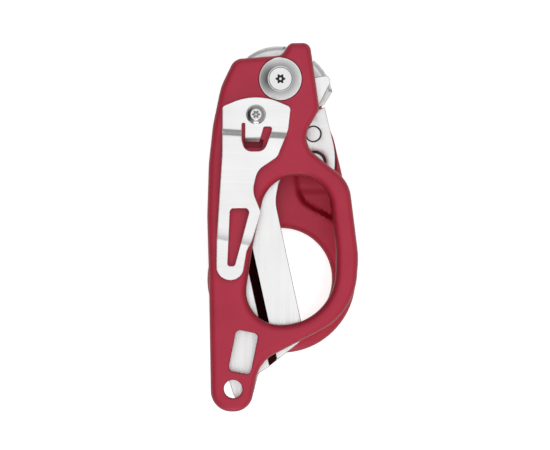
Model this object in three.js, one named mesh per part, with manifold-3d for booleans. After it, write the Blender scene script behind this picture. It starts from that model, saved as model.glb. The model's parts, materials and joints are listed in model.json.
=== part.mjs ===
// Folding rescue shears, folded: two moulded handles, two steel blades and a pocket clip.
//
// The tool lies on its rear handle. +Z is its thickness, +Y points to the hinge end and +X to the
// finger loop. The origin is the middle of the outline, on the flat back of the rear handle.
// Every hinge axis runs along Z, and the pieces lie in flat layers, listed under "Layers".

import * as THREE from 'three';
import { mergeVertices } from 'three/addons/utils/BufferGeometryUtils.js';
import Module from 'manifold-3d';

const wasm = await Module();
wasm.setup();

// ---------------------------------------------------------------- driving dimensions (mm)

const HANDLE_THICKNESS = 6.4;
const LINER_THICKNESS = 1.2;
const BLADE_THICKNESS = 2.4;
const LAYER_GAP = 0.1;

// Layers, from the back of the rear handle to the front of the front handle.
const REAR_HANDLE_TOP = HANDLE_THICKNESS;
const REAR_LINER_BOTTOM = REAR_HANDLE_TOP + LAYER_GAP;
const REAR_LINER_TOP = REAR_LINER_BOTTOM + LINER_THICKNESS;
const REAR_BLADE_BOTTOM = REAR_LINER_TOP + LAYER_GAP;
const REAR_BLADE_TOP = REAR_BLADE_BOTTOM + BLADE_THICKNESS;
const FRONT_BLADE_BOTTOM = REAR_BLADE_TOP + LAYER_GAP;
const FRONT_BLADE_TOP = FRONT_BLADE_BOTTOM + BLADE_THICKNESS;
const FRONT_LINER_BOTTOM = FRONT_BLADE_TOP + LAYER_GAP;
const FRONT_LINER_TOP = FRONT_LINER_BOTTOM + LINER_THICKNESS;
const FRONT_HANDLE_BOTTOM = FRONT_LINER_TOP + LAYER_GAP;
const FRONT_HANDLE_TOP = FRONT_HANDLE_BOTTOM + HANDLE_THICKNESS;

// Hinge axes.
const BLADE_PIVOT = { x: -15.3, y: 22.9 };
const FRONT_HINGE = { x: -0.7, y: 51.1 };
const REAR_HINGE = { x: -1.3, y: 43.8 };
const FRONT_LOCK = { x: -10.5, y: 52.1 };
const REAR_LOCK = { x: 8.6, y: 44.1 };
const CUTTER_PIVOT = { x: 11.1, y: 22.4 };

// How far each handle turns between folded and open, and where its lock pin starts.
const FRONT_FOLD_DEGREES = -165;
const REAR_FOLD_DEGREES = 145;
const FRONT_PIN_ANGLE = 125;
const REAR_PIN_ANGLE = 50;
const LOCK_PIN_RADIUS = 0.9;
const LOCK_PIN_ORBIT = 6.6;
const LOCK_PIN_TRAVEL = 1.0;
const LOCK_PIN_CLEARANCE = 0.35;

// Depth of the ground cutting edges.
const GRIND_DEPTH = 1.7;

// Handles.
const HANDLE_EDGE = 2.0;
const THUMB_RING = { x: 0, y: -18.2, outer: 26, inner: 17.6 };
const WRENCH_SLOT = { x: -13.5, y: -43.0, width: 7.8, length: 14.5, corner: 1.6, lean: -11.4 };
const LANYARD_HOLE = { x: -17.0, y: -55.7, radius: 3.2 };

// Hinge hardware.
const HINGE_WASHER_RADIUS = 7.4;
const HINGE_HEAD_RADIUS = 4.0;
const HINGE_BARREL_RADIUS = 2.9;
const HINGE_FLANGE_RADIUS = 4.4;
const HINGE_FLANGE_THICKNESS = 0.8;
const HINGE_FLANGE_SINK = 0.1;
const HINGE_WASHER_SEAT = 1.4;
const HINGE_WASHER_RECESS = 1.5;
const FRONT_HINGE_STANDS_OUT = 0.7;
const REAR_HINGE_FACE = 0.15;
const SCREW_SHANK_RADIUS = 1.5;
const SCREW_SHANK_GAP = 0.15;
const SOCKET_RADIUS = 1.8;
const BORE_CLEARANCE = 0.2;
const RECESS_CLEARANCE = 0.3;

// Blade pivot: a flanged sleeve from below, closed by a flanged screw from above.
const PIVOT_SLEEVE_RADIUS = 2.6;
const PIVOT_FLANGE_DEPTH = 1.0;
const PIVOT_FLANGE_SINK = 0.1;
const PIVOT_FLANGE_THICKNESS = 0.8;

// Rivets that hold the liners on the handles.
const REAR_RIVETS = [{ x: 10.7, y: 32.4 }, { x: -11.5, y: 39.5 }];
const FRONT_RIVETS = [{ x: 3.5, y: 36.0 }, { x: -17.0, y: 33.5 }];
const RIVET_HEAD_RADIUS = 2.5;
const RIVET_SHANK_RADIUS = 1.4;
const FRONT_RIVET_DEPTH = 2.9;
const FLUSH_GAP = 0.02;
const BOTTOM_GAP = 0.1;

// Lock levers: the thumb pads lie on the rim of one circle.
const PAD_RIM = { x: -1.3, y: 43.8, radius: 18.8 };
const LEVER_PIN_RADIUS = 1.2;
const LEVER_PIN_SINK = 0.05;
const LEVER_PIN_REACH = 4.4;
const LOCK_PIN_PRESS_GAP = 0.05;
const SPRING_WELL_RADIUS = 2.4;
const SPRING_WELL_DEPTH = 2.8;
const SPRING_GAP = 0.1;

// Pocket clip.
const CLIP_THICKNESS = 1.1;
const CLIP_RAISE = 1.9;
const CLIP_SCREW = { x: -9.1, y: 38.8, radius: 3.4 };
const CLIP_SCREW_SHANK_RADIUS = 1.25;
const CLIP_SCREW_DEPTH = 3.6;
const CLIP_SCREW_SOCKET_RADIUS = 1.5;
const CLIP_INSERT_RADIUS = 2.15;
const CLIP_INSERT_DEPTH = 4.4;
const TONGUE_POCKET_DEPTH = 1.4;

// Ring cutter, in a slot between two walls of the rear handle.
const CUTTER_SLOT_BOTTOM = 1.6;
const CUTTER_SLOT_TOP = 4.0;
const CUTTER_GAP = 0.3;
const CUTTER_LENGTH = 19;
const CUTTER_STOWED_DEGREES = 140;
const CUTTER_PIN_RADIUS = 2;
const CUTTER_PIN_BOTTOM = 0.8;
const CUTTER_PIN_HEAD_RADIUS = 3.3;
const CUTTER_LINER_HOLE_RADIUS = 4.1;

// The blind tips of the rear rivets stand just above the cutter's slot.
const REAR_RIVET_TIP = CUTTER_SLOT_TOP + 0.5;

// Smoothness of arcs, and how far a cutting tool reaches beyond the face it cuts.
const ARC_STEP_DEGREES = 12;
const ROUND_SEGMENTS = 20;
const EDGE_SEGMENTS = 2;
const OVERSHOOT = 1;

// ---------------------------------------------------------------- materials

function nylon() {
  return new THREE.MeshStandardMaterial({ color: 0xb2233a, roughness: 0.55, metalness: 0 });
}

function steel() {
  return new THREE.MeshStandardMaterial({ color: 0xd8dade, roughness: 0.28, metalness: 1 });
}

function darkSteel() {
  return new THREE.MeshStandardMaterial({ color: 0x6a6d70, roughness: 0.4, metalness: 1 });
}

function brass() {
  return new THREE.MeshStandardMaterial({ color: 0xb08d4a, roughness: 0.35, metalness: 1 });
}

// ---------------------------------------------------------------- shape helpers

const radians = THREE.MathUtils.degToRad;

function onCircle(centre, radius, degrees) {
  const angle = radians(degrees);
  return { x: centre.x + radius * Math.cos(angle), y: centre.y + radius * Math.sin(angle) };
}

// The points of one rounded corner [x, y, radius] between its two neighbours.
function cornerPoints(before, corner, after) {
  const here = new THREE.Vector2(corner[0], corner[1]);
  const radius = corner[2];
  if (radius === 0) {
    return [here];
  }
  const incoming = here.clone().sub(new THREE.Vector2(before[0], before[1])).normalize();
  const outgoing = new THREE.Vector2(after[0], after[1]).sub(here).normalize();
  const turn = Math.atan2(incoming.cross(outgoing), incoming.dot(outgoing));
  const side = Math.sign(turn);
  const tangent = radius * Math.tan(Math.abs(turn) / 2);
  const start = here.clone().addScaledVector(incoming, -tangent);
  const across = new THREE.Vector2(-incoming.y, incoming.x);
  const centre = start.clone().addScaledVector(across, side * radius);
  const arm = start.clone().sub(centre);
  const steps = Math.max(2, Math.ceil(Math.abs(turn) / radians(ARC_STEP_DEGREES)));
  const points = [];
  for (let step = 0; step <= steps; step += 1) {
    const swing = (turn * step) / steps;
    points.push(centre.clone().add(arm.clone().rotateAround(new THREE.Vector2(), swing)));
  }
  return points;
}

// A closed outline whose corners [x, y, radius] are joined by straight lines and arcs.
function roundedPoints(corners) {
  const closeness = 0.03;
  const points = [];
  corners.forEach((corner, index) => {
    const before = corners[(index + corners.length - 1) % corners.length];
    const after = corners[(index + 1) % corners.length];
    for (const point of cornerPoints(before, corner, after)) {
      if (points.length === 0 || points.at(-1).distanceTo(point) > closeness) {
        points.push(point);
      }
    }
  });
  if (points.at(-1).distanceTo(points[0]) <= closeness) {
    points.pop();
  }
  return points;
}

// The corners of a clockwise arc of a circle, ready to go inside a longer outline.
function arcCorners(circle, fromDegrees, toDegrees, count) {
  const span = (toDegrees - fromDegrees) / count;
  const reach = circle.outer / Math.cos(radians(span / 2));
  return Array.from({ length: count }, (_, index) => {
    const corner = onCircle(circle, reach, fromDegrees + span * (index + 0.5));
    return [corner.x, corner.y, circle.outer];
  });
}

function circlePath(centre, radius) {
  return new THREE.Path().absarc(centre.x, centre.y, radius, 0, 2 * Math.PI, true);
}

// A flat plate from one height to another, with rounded edges when edge is more than 0.
function plate(corners, bottom, top, { holes = [], edge = 0 } = {}) {
  const outline = roundedPoints(corners);
  if (THREE.ShapeUtils.isClockWise(outline)) {
    outline.reverse();
  }
  const shape = new THREE.Shape(outline);
  shape.holes.push(...holes);
  const geometry = new THREE.ExtrudeGeometry(shape, {
    depth: top - bottom - 2 * edge,
    curveSegments: ROUND_SEGMENTS,
    bevelEnabled: edge > 0,
    bevelThickness: edge,
    bevelSize: edge,
    bevelOffset: -edge,
    bevelSegments: EDGE_SEGMENTS,
  });
  return geometry.translate(0, 0, bottom + edge);
}

function rod(centre, radius, bottom, top, segments = ROUND_SEGMENTS) {
  const geometry = new THREE.CylinderGeometry(radius, radius, top - bottom, segments);
  return geometry.rotateX(Math.PI / 2).translate(centre.x, centre.y, (bottom + top) / 2);
}

// A turned piece about a vertical axis, from a profile of [radius, height] points.
function turned(centre, profile) {
  const points = profile.map(([radius, height]) => new THREE.Vector2(radius, height));
  const geometry = new THREE.LatheGeometry(points, ROUND_SEGMENTS);
  return geometry.rotateX(Math.PI / 2).translate(centre.x, centre.y, 0);
}

function solid(geometry) {
  const bare = new THREE.BufferGeometry();
  bare.setAttribute('position', geometry.getAttribute('position'));
  if (geometry.index) {
    bare.setIndex(geometry.index);
  }
  const merged = mergeVertices(bare, 1e-4);
  const triangles = [];
  for (let corner = 0; corner < merged.index.count; corner += 3) {
    const face = [0, 1, 2].map((step) => merged.index.getX(corner + step));
    if (new Set(face).size === 3) {
      triangles.push(...face);
    }
  }
  return new wasm.Manifold(new wasm.Mesh({
    numProp: 3,
    vertProperties: merged.getAttribute('position').array,
    triVerts: new Uint32Array(triangles),
  }));
}

function geometryOf(body) {
  const { vertProperties, triVerts } = body.getMesh();
  const geometry = new THREE.BufferGeometry();
  geometry.setAttribute('position', new THREE.BufferAttribute(vertProperties, 3));
  geometry.setIndex(new THREE.BufferAttribute(triVerts, 1));
  geometry.computeVertexNormals();
  return geometry;
}

function cut(geometry, ...tools) {
  return geometryOf(tools.reduce((body, tool) => body.subtract(solid(tool)), solid(geometry)));
}

function joined(geometry, ...others) {
  return geometryOf(others.reduce((body, other) => body.add(solid(other)), solid(geometry)));
}

function common(geometry, other) {
  return geometryOf(solid(geometry).intersect(solid(other)));
}

function mesh(name, geometry, material) {
  const piece = new THREE.Mesh(geometry, material);
  piece.name = name;
  return piece;
}

function assembly(...pieces) {
  const group = new THREE.Group();
  group.add(...pieces);
  return group;
}

// A wedge that grinds a cutting edge. Going from one point to the other, the blade is on the left.
// face is 1 for a grind on the top face of the blade and -1 for one on its bottom face.
function grindWedge(from, to, faceHeight, face, width, depth) {
  const along = new THREE.Vector3(to.x - from.x, to.y - from.y, 0);
  const length = along.length();
  along.normalize();
  const inward = new THREE.Vector3(-along.y, along.x, 0);
  const slope = depth / width;
  const section = new THREE.Shape([
    new THREE.Vector2(width, faceHeight),
    new THREE.Vector2(width, faceHeight + face * OVERSHOOT),
    new THREE.Vector2(-OVERSHOOT, faceHeight + face * OVERSHOOT),
    new THREE.Vector2(-OVERSHOOT, faceHeight - face * (depth + slope * OVERSHOOT)),
  ]);
  const wedge = new THREE.ExtrudeGeometry(section, { depth: length, bevelEnabled: false });
  const placing = new THREE.Matrix4().makeBasis(inward, new THREE.Vector3(0, 0, 1), along);
  placing.setPosition(from.x, from.y, 0);
  return wedge.applyMatrix4(placing);
}

// The six-lobed socket of a security screw.
function lobedSocket(centre, radius, bottom, top) {
  const lobes = 6;
  const lobeDepth = 0.16;
  const count = 4 * lobes;
  const points = Array.from({ length: count }, (_, index) => {
    const angle = (index / count) * 2 * Math.PI;
    const reach = radius * (1 - lobeDepth + lobeDepth * Math.cos(lobes * angle));
    return new THREE.Vector2(centre.x + reach * Math.cos(angle), centre.y + reach * Math.sin(angle));
  });
  const geometry = new THREE.ExtrudeGeometry(new THREE.Shape(points), {
    depth: top - bottom,
    bevelEnabled: false,
  });
  return geometry.translate(0, 0, bottom);
}

// The curved slot that a lock pin sweeps while its handle folds, with a deeper pocket at each end.
function pinTrack(hinge, startDegrees, sweepDegrees, bottom, top) {
  const half = LOCK_PIN_RADIUS + LOCK_PIN_CLEARANCE;
  const corner = half * 0.99;
  const arcSegments = 16;
  const first = Math.min(startDegrees, startDegrees + sweepDegrees);
  const last = Math.max(startDegrees, startDegrees + sweepDegrees);
  const track = new THREE.Shape();
  track.absarc(hinge.x, hinge.y, LOCK_PIN_ORBIT + half, radians(first), radians(last), false);
  track.absarc(hinge.x, hinge.y, LOCK_PIN_ORBIT - half, radians(last), radians(first), true);
  const sweep = new THREE.ExtrudeGeometry(track, {
    depth: top - bottom,
    curveSegments: arcSegments,
    bevelEnabled: false,
  }).translate(0, 0, bottom);
  const ends = [first, last].map((degrees) => {
    const near = LOCK_PIN_ORBIT - half;
    const far = LOCK_PIN_ORBIT + LOCK_PIN_TRAVEL + half;
    const pocket = new THREE.Shape(roundedPoints([
      [near, -half, corner],
      [far, -half, corner],
      [far, half, corner],
      [near, half, corner],
    ]));
    return new THREE.ExtrudeGeometry(pocket, { depth: top - bottom, bevelEnabled: false })
      .rotateZ(radians(degrees))
      .translate(hinge.x, hinge.y, bottom);
  });
  return joined(sweep, ...ends);
}

// Small round notches along the rim of a thumb pad.
function padNotches(fromDegrees, toDegrees, count, bottom, top) {
  const notchRadius = 0.42;
  const notchOrbit = PAD_RIM.radius + 0.1;
  const sides = 6;
  return Array.from({ length: count }, (_, index) => {
    const degrees = fromDegrees + ((toDegrees - fromDegrees) * index) / (count - 1);
    return rod(onCircle(PAD_RIM, notchOrbit, degrees), notchRadius, bottom, top, sides);
  });
}

// A torsion spring round a lever pin, as one closed wire.
function torsionSpring(centre, bottom, top) {
  const turns = 3;
  const wireRadius = 0.3;
  const coilRadius = 1.75;
  const stepsPerTurn = 10;
  const sides = 5;
  class Helix extends THREE.Curve {
    getPoint(along, target = new THREE.Vector3()) {
      const angle = along * turns * 2 * Math.PI;
      const rise = bottom + wireRadius + along * (top - bottom - 2 * wireRadius);
      return target.set(
        centre.x + coilRadius * Math.cos(angle),
        centre.y + coilRadius * Math.sin(angle),
        rise,
      );
    }
  }
  const section = new THREE.Shape().absarc(0, 0, wireRadius, 0, 2 * Math.PI, false);
  return new THREE.ExtrudeGeometry(section, {
    steps: turns * stepsPerTurn,
    curveSegments: sides,
    extrudePath: new Helix(),
  });
}

// ---------------------------------------------------------------- rear handle

const rearHandleCorners = [
  [-15.8, 58.0, 12.5],
  [11.4, 58.0, 8],
  [13.8, 41, 10],
  [17.9, 30.5, 12],
  [20.9, 17.5, 25],
  ...arcCorners(THUMB_RING, 8.6, -193.4, 4),
  [-19.5, 12, 15],
];

function rearHandle() {
  const body = plate(rearHandleCorners, 0, REAR_HANDLE_TOP, {
    holes: [circlePath(THUMB_RING, THUMB_RING.inner)],
    edge: HANDLE_EDGE,
  });
  const slotRadius = CUTTER_LENGTH + 0.6;
  const slotCorners = [
    [CUTTER_PIVOT.x - slotRadius, CUTTER_PIVOT.y - 6, 3],
    [CUTTER_PIVOT.x - slotRadius, CUTTER_PIVOT.y + slotRadius, slotRadius * 0.95],
    [CUTTER_PIVOT.x + slotRadius, CUTTER_PIVOT.y + slotRadius, slotRadius * 0.95],
    [CUTTER_PIVOT.x + slotRadius, CUTTER_PIVOT.y - 9, 3],
    [CUTTER_PIVOT.x, CUTTER_PIVOT.y - 7, 3],
  ];
  const below = -OVERSHOOT;
  const above = REAR_HANDLE_TOP + OVERSHOOT;
  const rivetHoles = REAR_RIVETS.map((rivet) => (
    rod(rivet, RIVET_SHANK_RADIUS + BORE_CLEARANCE, REAR_RIVET_TIP - BOTTOM_GAP, above)
  ));
  return cut(
    body,
    plate(slotCorners, CUTTER_SLOT_BOTTOM, CUTTER_SLOT_TOP),
    rod(CUTTER_PIVOT, CUTTER_PIN_RADIUS + BORE_CLEARANCE, CUTTER_PIN_BOTTOM - BOTTOM_GAP, above),
    rod(REAR_HINGE, HINGE_WASHER_RADIUS + RECESS_CLEARANCE, below, HINGE_WASHER_RECESS),
    rod(REAR_HINGE, HINGE_BARREL_RADIUS + BORE_CLEARANCE, below, above),
    rod(
      REAR_LOCK,
      LEVER_PIN_RADIUS + BORE_CLEARANCE,
      REAR_HANDLE_TOP - LEVER_PIN_REACH - BORE_CLEARANCE,
      above,
    ),
    rod(REAR_LOCK, SPRING_WELL_RADIUS, REAR_HANDLE_TOP - SPRING_WELL_DEPTH, above),
    ...rivetHoles,
  );
}

function rearLiner() {
  const corners = [
    [-16.3, 58.6, 14.5],
    [0.2, 58.8, 1.5],
    [0.2, 49.4, 1],
    [2.9, 46.0, 1],
    [4.6, 39.9, 1.5],
    [13.0, 40.2, 1],
    [14.6, 41.8, 0.5],
    [15.0, 40.4, 2],
    [18.4, 26, 25],
    [18.1, 19.2, 1.5],
    [5.0, 19.2, 2],
    [1.0, 30.0, 6],
    [-14.5, 29.0, 10],
    [-16.3, 40, 10],
  ];
  const below = REAR_LINER_BOTTOM - OVERSHOOT;
  const above = REAR_LINER_TOP + OVERSHOOT;
  const rivetHoles = REAR_RIVETS.map((rivet) => (
    rod(rivet, RIVET_HEAD_RADIUS + BORE_CLEARANCE, below, above)
  ));
  return cut(
    plate(corners, REAR_LINER_BOTTOM, REAR_LINER_TOP),
    rod(REAR_HINGE, HINGE_BARREL_RADIUS + BORE_CLEARANCE, below, above),
    rod(CUTTER_PIVOT, CUTTER_LINER_HOLE_RADIUS, below, above),
    ...rivetHoles,
  );
}

function rearRivet(rivet) {
  return turned(rivet, [
    [0, REAR_RIVET_TIP],
    [RIVET_SHANK_RADIUS, REAR_RIVET_TIP],
    [RIVET_SHANK_RADIUS, REAR_LINER_BOTTOM],
    [RIVET_HEAD_RADIUS, REAR_LINER_BOTTOM],
    [RIVET_HEAD_RADIUS, REAR_LINER_TOP - FLUSH_GAP],
    [0, REAR_LINER_TOP - FLUSH_GAP],
  ]);
}

// ---------------------------------------------------------------- hinge hardware

// A flanged barrel nut that stands in the tang and reaches into the handle. direction is 1 when
// the handle is above the tang and -1 when it is below.
function hingeBarrel(hinge, flangeFace, far, direction) {
  const boreFloor = flangeFace + direction * 2 * HINGE_FLANGE_THICKNESS;
  const boreRadius = SCREW_SHANK_RADIUS + SCREW_SHANK_GAP;
  const profile = [
    [0, flangeFace],
    [HINGE_FLANGE_RADIUS, flangeFace],
    [HINGE_FLANGE_RADIUS, flangeFace + direction * HINGE_FLANGE_THICKNESS],
    [HINGE_BARREL_RADIUS, flangeFace + direction * HINGE_FLANGE_THICKNESS],
    [HINGE_BARREL_RADIUS, far],
    [boreRadius, far],
    [boreRadius, boreFloor],
    [0, boreFloor],
  ];
  return turned(hinge, direction > 0 ? profile : profile.reverse());
}

function hingeScrew(hinge, tip, seat, face, socketDepth) {
  const direction = Math.sign(face - tip);
  const chamfer = 0.3;
  const profile = [
    [0, tip],
    [SCREW_SHANK_RADIUS, tip],
    [SCREW_SHANK_RADIUS, seat],
    [HINGE_HEAD_RADIUS, seat],
    [HINGE_HEAD_RADIUS, face - direction * chamfer],
    [HINGE_HEAD_RADIUS - chamfer, face],
    [0, face],
  ];
  const socketEnd = face - direction * socketDepth;
  const beyond = face + direction;
  return cut(
    turned(hinge, direction > 0 ? profile : profile.reverse()),
    lobedSocket(hinge, SOCKET_RADIUS, Math.min(socketEnd, beyond), Math.max(socketEnd, beyond)),
  );
}

function hingeWasher(hinge, seat, rim, face) {
  const bore = HINGE_HEAD_RADIUS + SCREW_SHANK_GAP;
  const profile = [
    [bore, seat],
    [HINGE_WASHER_RADIUS, seat],
    [HINGE_WASHER_RADIUS, rim],
    [bore, face],
    [bore, seat],
  ];
  return turned(hinge, face > seat ? profile : profile.reverse());
}

// ---------------------------------------------------------------- lock levers

const frontPinPlace = onCircle(FRONT_HINGE, LOCK_PIN_ORBIT, FRONT_PIN_ANGLE);
const rearPinPlace = onCircle(REAR_HINGE, LOCK_PIN_ORBIT, REAR_PIN_ANGLE);

const frontLeverCorners = [
  [0.6, 62.5, 0.3],
  [0.3, 57.9, 0.5],
  [-3.6, 56.6, 0.9],
  [-3.4, 54.9, 0.7],
  [-6.0, 54.2, 1.2],
  [-8.4, 49.6, 2],
  [-12.6, 49.6, 2.6],
  [-13.2, 56.2, 4],
  [-12.2, 59.0, 0.4],
  [-6.5, 63.2, 17.6],
];

const rearLeverCorners = [
  [11.0, 58.2, 0.4],
  [15.8, 53.7, 18.0],
  [17.5, 47.2, 0.8],
  [14.4, 42.3, 1.5],
  [8.4, 40.9, 3],
  [5.3, 42.6, 2.4],
  [5.0, 46.3, 1],
  [1.6, 47.9, 1.3],
  [2.0, 50.9, 1.5],
  [6.5, 51.4, 3],
];

function frontLever() {
  const below = FRONT_LINER_BOTTOM - OVERSHOOT;
  const above = FRONT_LINER_TOP + OVERSHOOT;
  return cut(
    plate(frontLeverCorners, FRONT_LINER_BOTTOM, FRONT_LINER_TOP),
    rod(FRONT_LOCK, LEVER_PIN_RADIUS + BORE_CLEARANCE, below, above),
    rod(frontPinPlace, LOCK_PIN_RADIUS + LOCK_PIN_PRESS_GAP, below, above),
    ...padNotches(87, 124, 10, below, above),
  );
}

function rearLever() {
  const below = REAR_LINER_BOTTOM - OVERSHOOT;
  const above = REAR_LINER_TOP + OVERSHOOT;
  return cut(
    plate(rearLeverCorners, REAR_LINER_BOTTOM, REAR_LINER_TOP),
    rod(REAR_LOCK, LEVER_PIN_RADIUS + BORE_CLEARANCE, below, above),
    rod(rearPinPlace, LOCK_PIN_RADIUS + LOCK_PIN_PRESS_GAP, below, above),
    ...padNotches(47, 13, 10, below, above),
  );
}

// ---------------------------------------------------------------- blades

const rearBladeCorners = [
  [-12.3, 54.8, 10.8],
  [9.7, 54.8, 10.8],
  [9.7, 36.5, 9],
  [-7.9, 19.5, 6],
  [-4.4, -48.2, 0.4],
  [-8.3, -50.6, 3],
  [-10.6, -59.8, 2.9],
  [-15.2, -59.8, 2.8],
  [-17.4, -50.5, 8],
  [-22.0, 22.5, 20],
  [-21.6, 30.5, 6],
  [-12.3, 40.0, 8],
];

const frontBladeCorners = [
  [-9.6, 58.2, 8],
  [7.0, 57.6, 5],
  [10.6, 51.7, 1],
  [15.9, 52.6, 1.2],
  [16.7, 50.2, 1.6],
  [-1.3, 15.2, 8],
  [-2.5, 9.0, 14],
  [7.7, -38.3, 5],
  [-4.6, -48.1, 0.4],
  [-20.4, 24.0, 6],
  [-19.8, 30.5, 6],
  [-9.8, 44.0, 9],
];

function rearBlade() {
  const below = REAR_BLADE_BOTTOM - OVERSHOOT;
  const above = REAR_BLADE_TOP + OVERSHOOT;
  const flangeBore = HINGE_FLANGE_RADIUS + BORE_CLEARANCE;
  const grindWidth = 2.8;
  return cut(
    plate(rearBladeCorners, REAR_BLADE_BOTTOM, REAR_BLADE_TOP),
    rod(REAR_HINGE, HINGE_BARREL_RADIUS + BORE_CLEARANCE, below, above),
    rod(REAR_HINGE, flangeBore, REAR_BLADE_TOP - PIVOT_FLANGE_DEPTH, above),
    rod(BLADE_PIVOT, PIVOT_SLEEVE_RADIUS + BORE_CLEARANCE, below, above),
    rod(BLADE_PIVOT, flangeBore, below, REAR_BLADE_BOTTOM + PIVOT_FLANGE_DEPTH),
    pinTrack(REAR_HINGE, REAR_PIN_ANGLE, REAR_FOLD_DEGREES, below, above),
    grindWedge({ x: -4.3, y: -50 }, { x: -7.3, y: 8 }, REAR_BLADE_BOTTOM, -1, grindWidth, GRIND_DEPTH),
  );
}

function frontBlade() {
  const below = FRONT_BLADE_BOTTOM - OVERSHOOT;
  const above = FRONT_BLADE_TOP + OVERSHOOT;
  const flangeBore = HINGE_FLANGE_RADIUS + BORE_CLEARANCE;
  const grindWidth = 2.6;
  return cut(
    plate(frontBladeCorners, FRONT_BLADE_BOTTOM, FRONT_BLADE_TOP),
    rod(FRONT_HINGE, HINGE_BARREL_RADIUS + BORE_CLEARANCE, below, above),
    rod(FRONT_HINGE, flangeBore, below, FRONT_BLADE_BOTTOM + PIVOT_FLANGE_DEPTH),
    rod(BLADE_PIVOT, PIVOT_SLEEVE_RADIUS + BORE_CLEARANCE, below, above),
    rod(BLADE_PIVOT, flangeBore, FRONT_BLADE_TOP - PIVOT_FLANGE_DEPTH, above),
    pinTrack(FRONT_HINGE, FRONT_PIN_ANGLE, FRONT_FOLD_DEGREES, below, above),
    grindWedge({ x: -16.9, y: 8 }, { x: -4.1, y: -50 }, FRONT_BLADE_TOP, 1, grindWidth, GRIND_DEPTH),
  );
}

function pivotScrew() {
  const tip = REAR_BLADE_BOTTOM + 1.6;
  const face = FRONT_BLADE_TOP - PIVOT_FLANGE_SINK;
  const seat = face - PIVOT_FLANGE_THICKNESS;
  const socketDepth = 0.6;
  return cut(
    turned(BLADE_PIVOT, [
      [0, tip],
      [SCREW_SHANK_RADIUS, tip],
      [SCREW_SHANK_RADIUS, seat],
      [HINGE_FLANGE_RADIUS, seat],
      [HINGE_FLANGE_RADIUS, face],
      [0, face],
    ]),
    lobedSocket(BLADE_PIVOT, SOCKET_RADIUS, face - socketDepth, face + OVERSHOOT),
  );
}

function pivotNut() {
  const bore = SCREW_SHANK_RADIUS + SCREW_SHANK_GAP;
  const boreFloor = REAR_BLADE_BOTTOM + 1.4;
  const face = REAR_BLADE_BOTTOM + PIVOT_FLANGE_SINK;
  const seat = face + PIVOT_FLANGE_THICKNESS;
  const far = FRONT_BLADE_TOP - PIVOT_FLANGE_DEPTH - PIVOT_FLANGE_SINK;
  return turned(BLADE_PIVOT, [
    [0, face],
    [HINGE_FLANGE_RADIUS, face],
    [HINGE_FLANGE_RADIUS, seat],
    [PIVOT_SLEEVE_RADIUS, seat],
    [PIVOT_SLEEVE_RADIUS, far],
    [bore, far],
    [bore, boreFloor],
    [0, boreFloor],
  ]);
}

// ---------------------------------------------------------------- front handle

const frontHandleCorners = [
  [-16.6, 58.0, 4.5],
  [0.4, 59.3, 3],
  [3.2, 63.5, 2.5],
  [9.1, 63.5, 2.6],
  [12.6, 40.6, 3.5],
  [5.6, 29.0, 7.6],
  [23.6, 16.2, 8],
  [25.8, -12.5, 30],
  [24.8, -29.5, 23],
  [-7.3, -46.9, 12],
  [-11.3, -63.5, 6.6],
  [-24.6, -63.5, 7.1],
  [-26.0, -2, 80],
  [-25.7, 25, 30],
  [-21.0, 48.5, 20],
];

const fingerHoleCorners = [
  [-5.3, 17.8, 12.2],
  [15.5, 17.8, 11.3],
  [18.5, -8, 40],
  [17.0, -33.6, 16.2],
  [-12.6, -33.6, 10.8],
];

function wrenchSlotCorners() {
  const { x, y, width, length, corner, lean } = WRENCH_SLOT;
  const middle = new THREE.Vector2(x, y);
  return [[-1, 1], [1, 1], [1, -1], [-1, -1]].map(([across, up]) => {
    const point = new THREE.Vector2(x + (across * width) / 2, y + (up * length) / 2);
    point.rotateAround(middle, radians(lean));
    return [point.x, point.y, corner];
  });
}

function frontHandle() {
  const fingerHole = new THREE.Path(roundedPoints(fingerHoleCorners));
  const body = plate(frontHandleCorners, FRONT_HANDLE_BOTTOM, FRONT_HANDLE_TOP, {
    holes: [fingerHole],
    edge: HANDLE_EDGE,
  });
  const below = FRONT_HANDLE_BOTTOM - OVERSHOOT;
  const above = FRONT_HANDLE_TOP + OVERSHOOT;
  const tonguePocket = [[-13.3, 30.2, 0.5], [-6.6, 30.2, 0.5], [-7.0, 27.4, 0.5], [-12.9, 27.4, 0.5]];
  const rivetHoles = FRONT_RIVETS.map((rivet) => (
    rod(
      rivet,
      RIVET_SHANK_RADIUS + BORE_CLEARANCE,
      below,
      FRONT_HANDLE_BOTTOM + FRONT_RIVET_DEPTH + BOTTOM_GAP,
    )
  ));
  return cut(
    body,
    plate(wrenchSlotCorners(), below, above),
    rod(LANYARD_HOLE, LANYARD_HOLE.radius, below, above),
    rod(
      FRONT_HINGE,
      HINGE_WASHER_RADIUS + RECESS_CLEARANCE,
      FRONT_HANDLE_TOP - HINGE_WASHER_RECESS,
      above,
    ),
    rod(FRONT_HINGE, HINGE_BARREL_RADIUS + BORE_CLEARANCE, below, above),
    rod(
      FRONT_LOCK,
      LEVER_PIN_RADIUS + BORE_CLEARANCE,
      below,
      FRONT_HANDLE_BOTTOM + LEVER_PIN_REACH + BORE_CLEARANCE,
    ),
    rod(FRONT_LOCK, SPRING_WELL_RADIUS, below, FRONT_HANDLE_BOTTOM + SPRING_WELL_DEPTH),
    rod(
      CLIP_SCREW,
      CLIP_INSERT_RADIUS + SCREW_SHANK_GAP,
      FRONT_HANDLE_TOP - CLIP_INSERT_DEPTH - BOTTOM_GAP,
      above,
    ),
    plate(tonguePocket, FRONT_HANDLE_TOP - TONGUE_POCKET_DEPTH, above),
    ...rivetHoles,
  );
}

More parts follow.
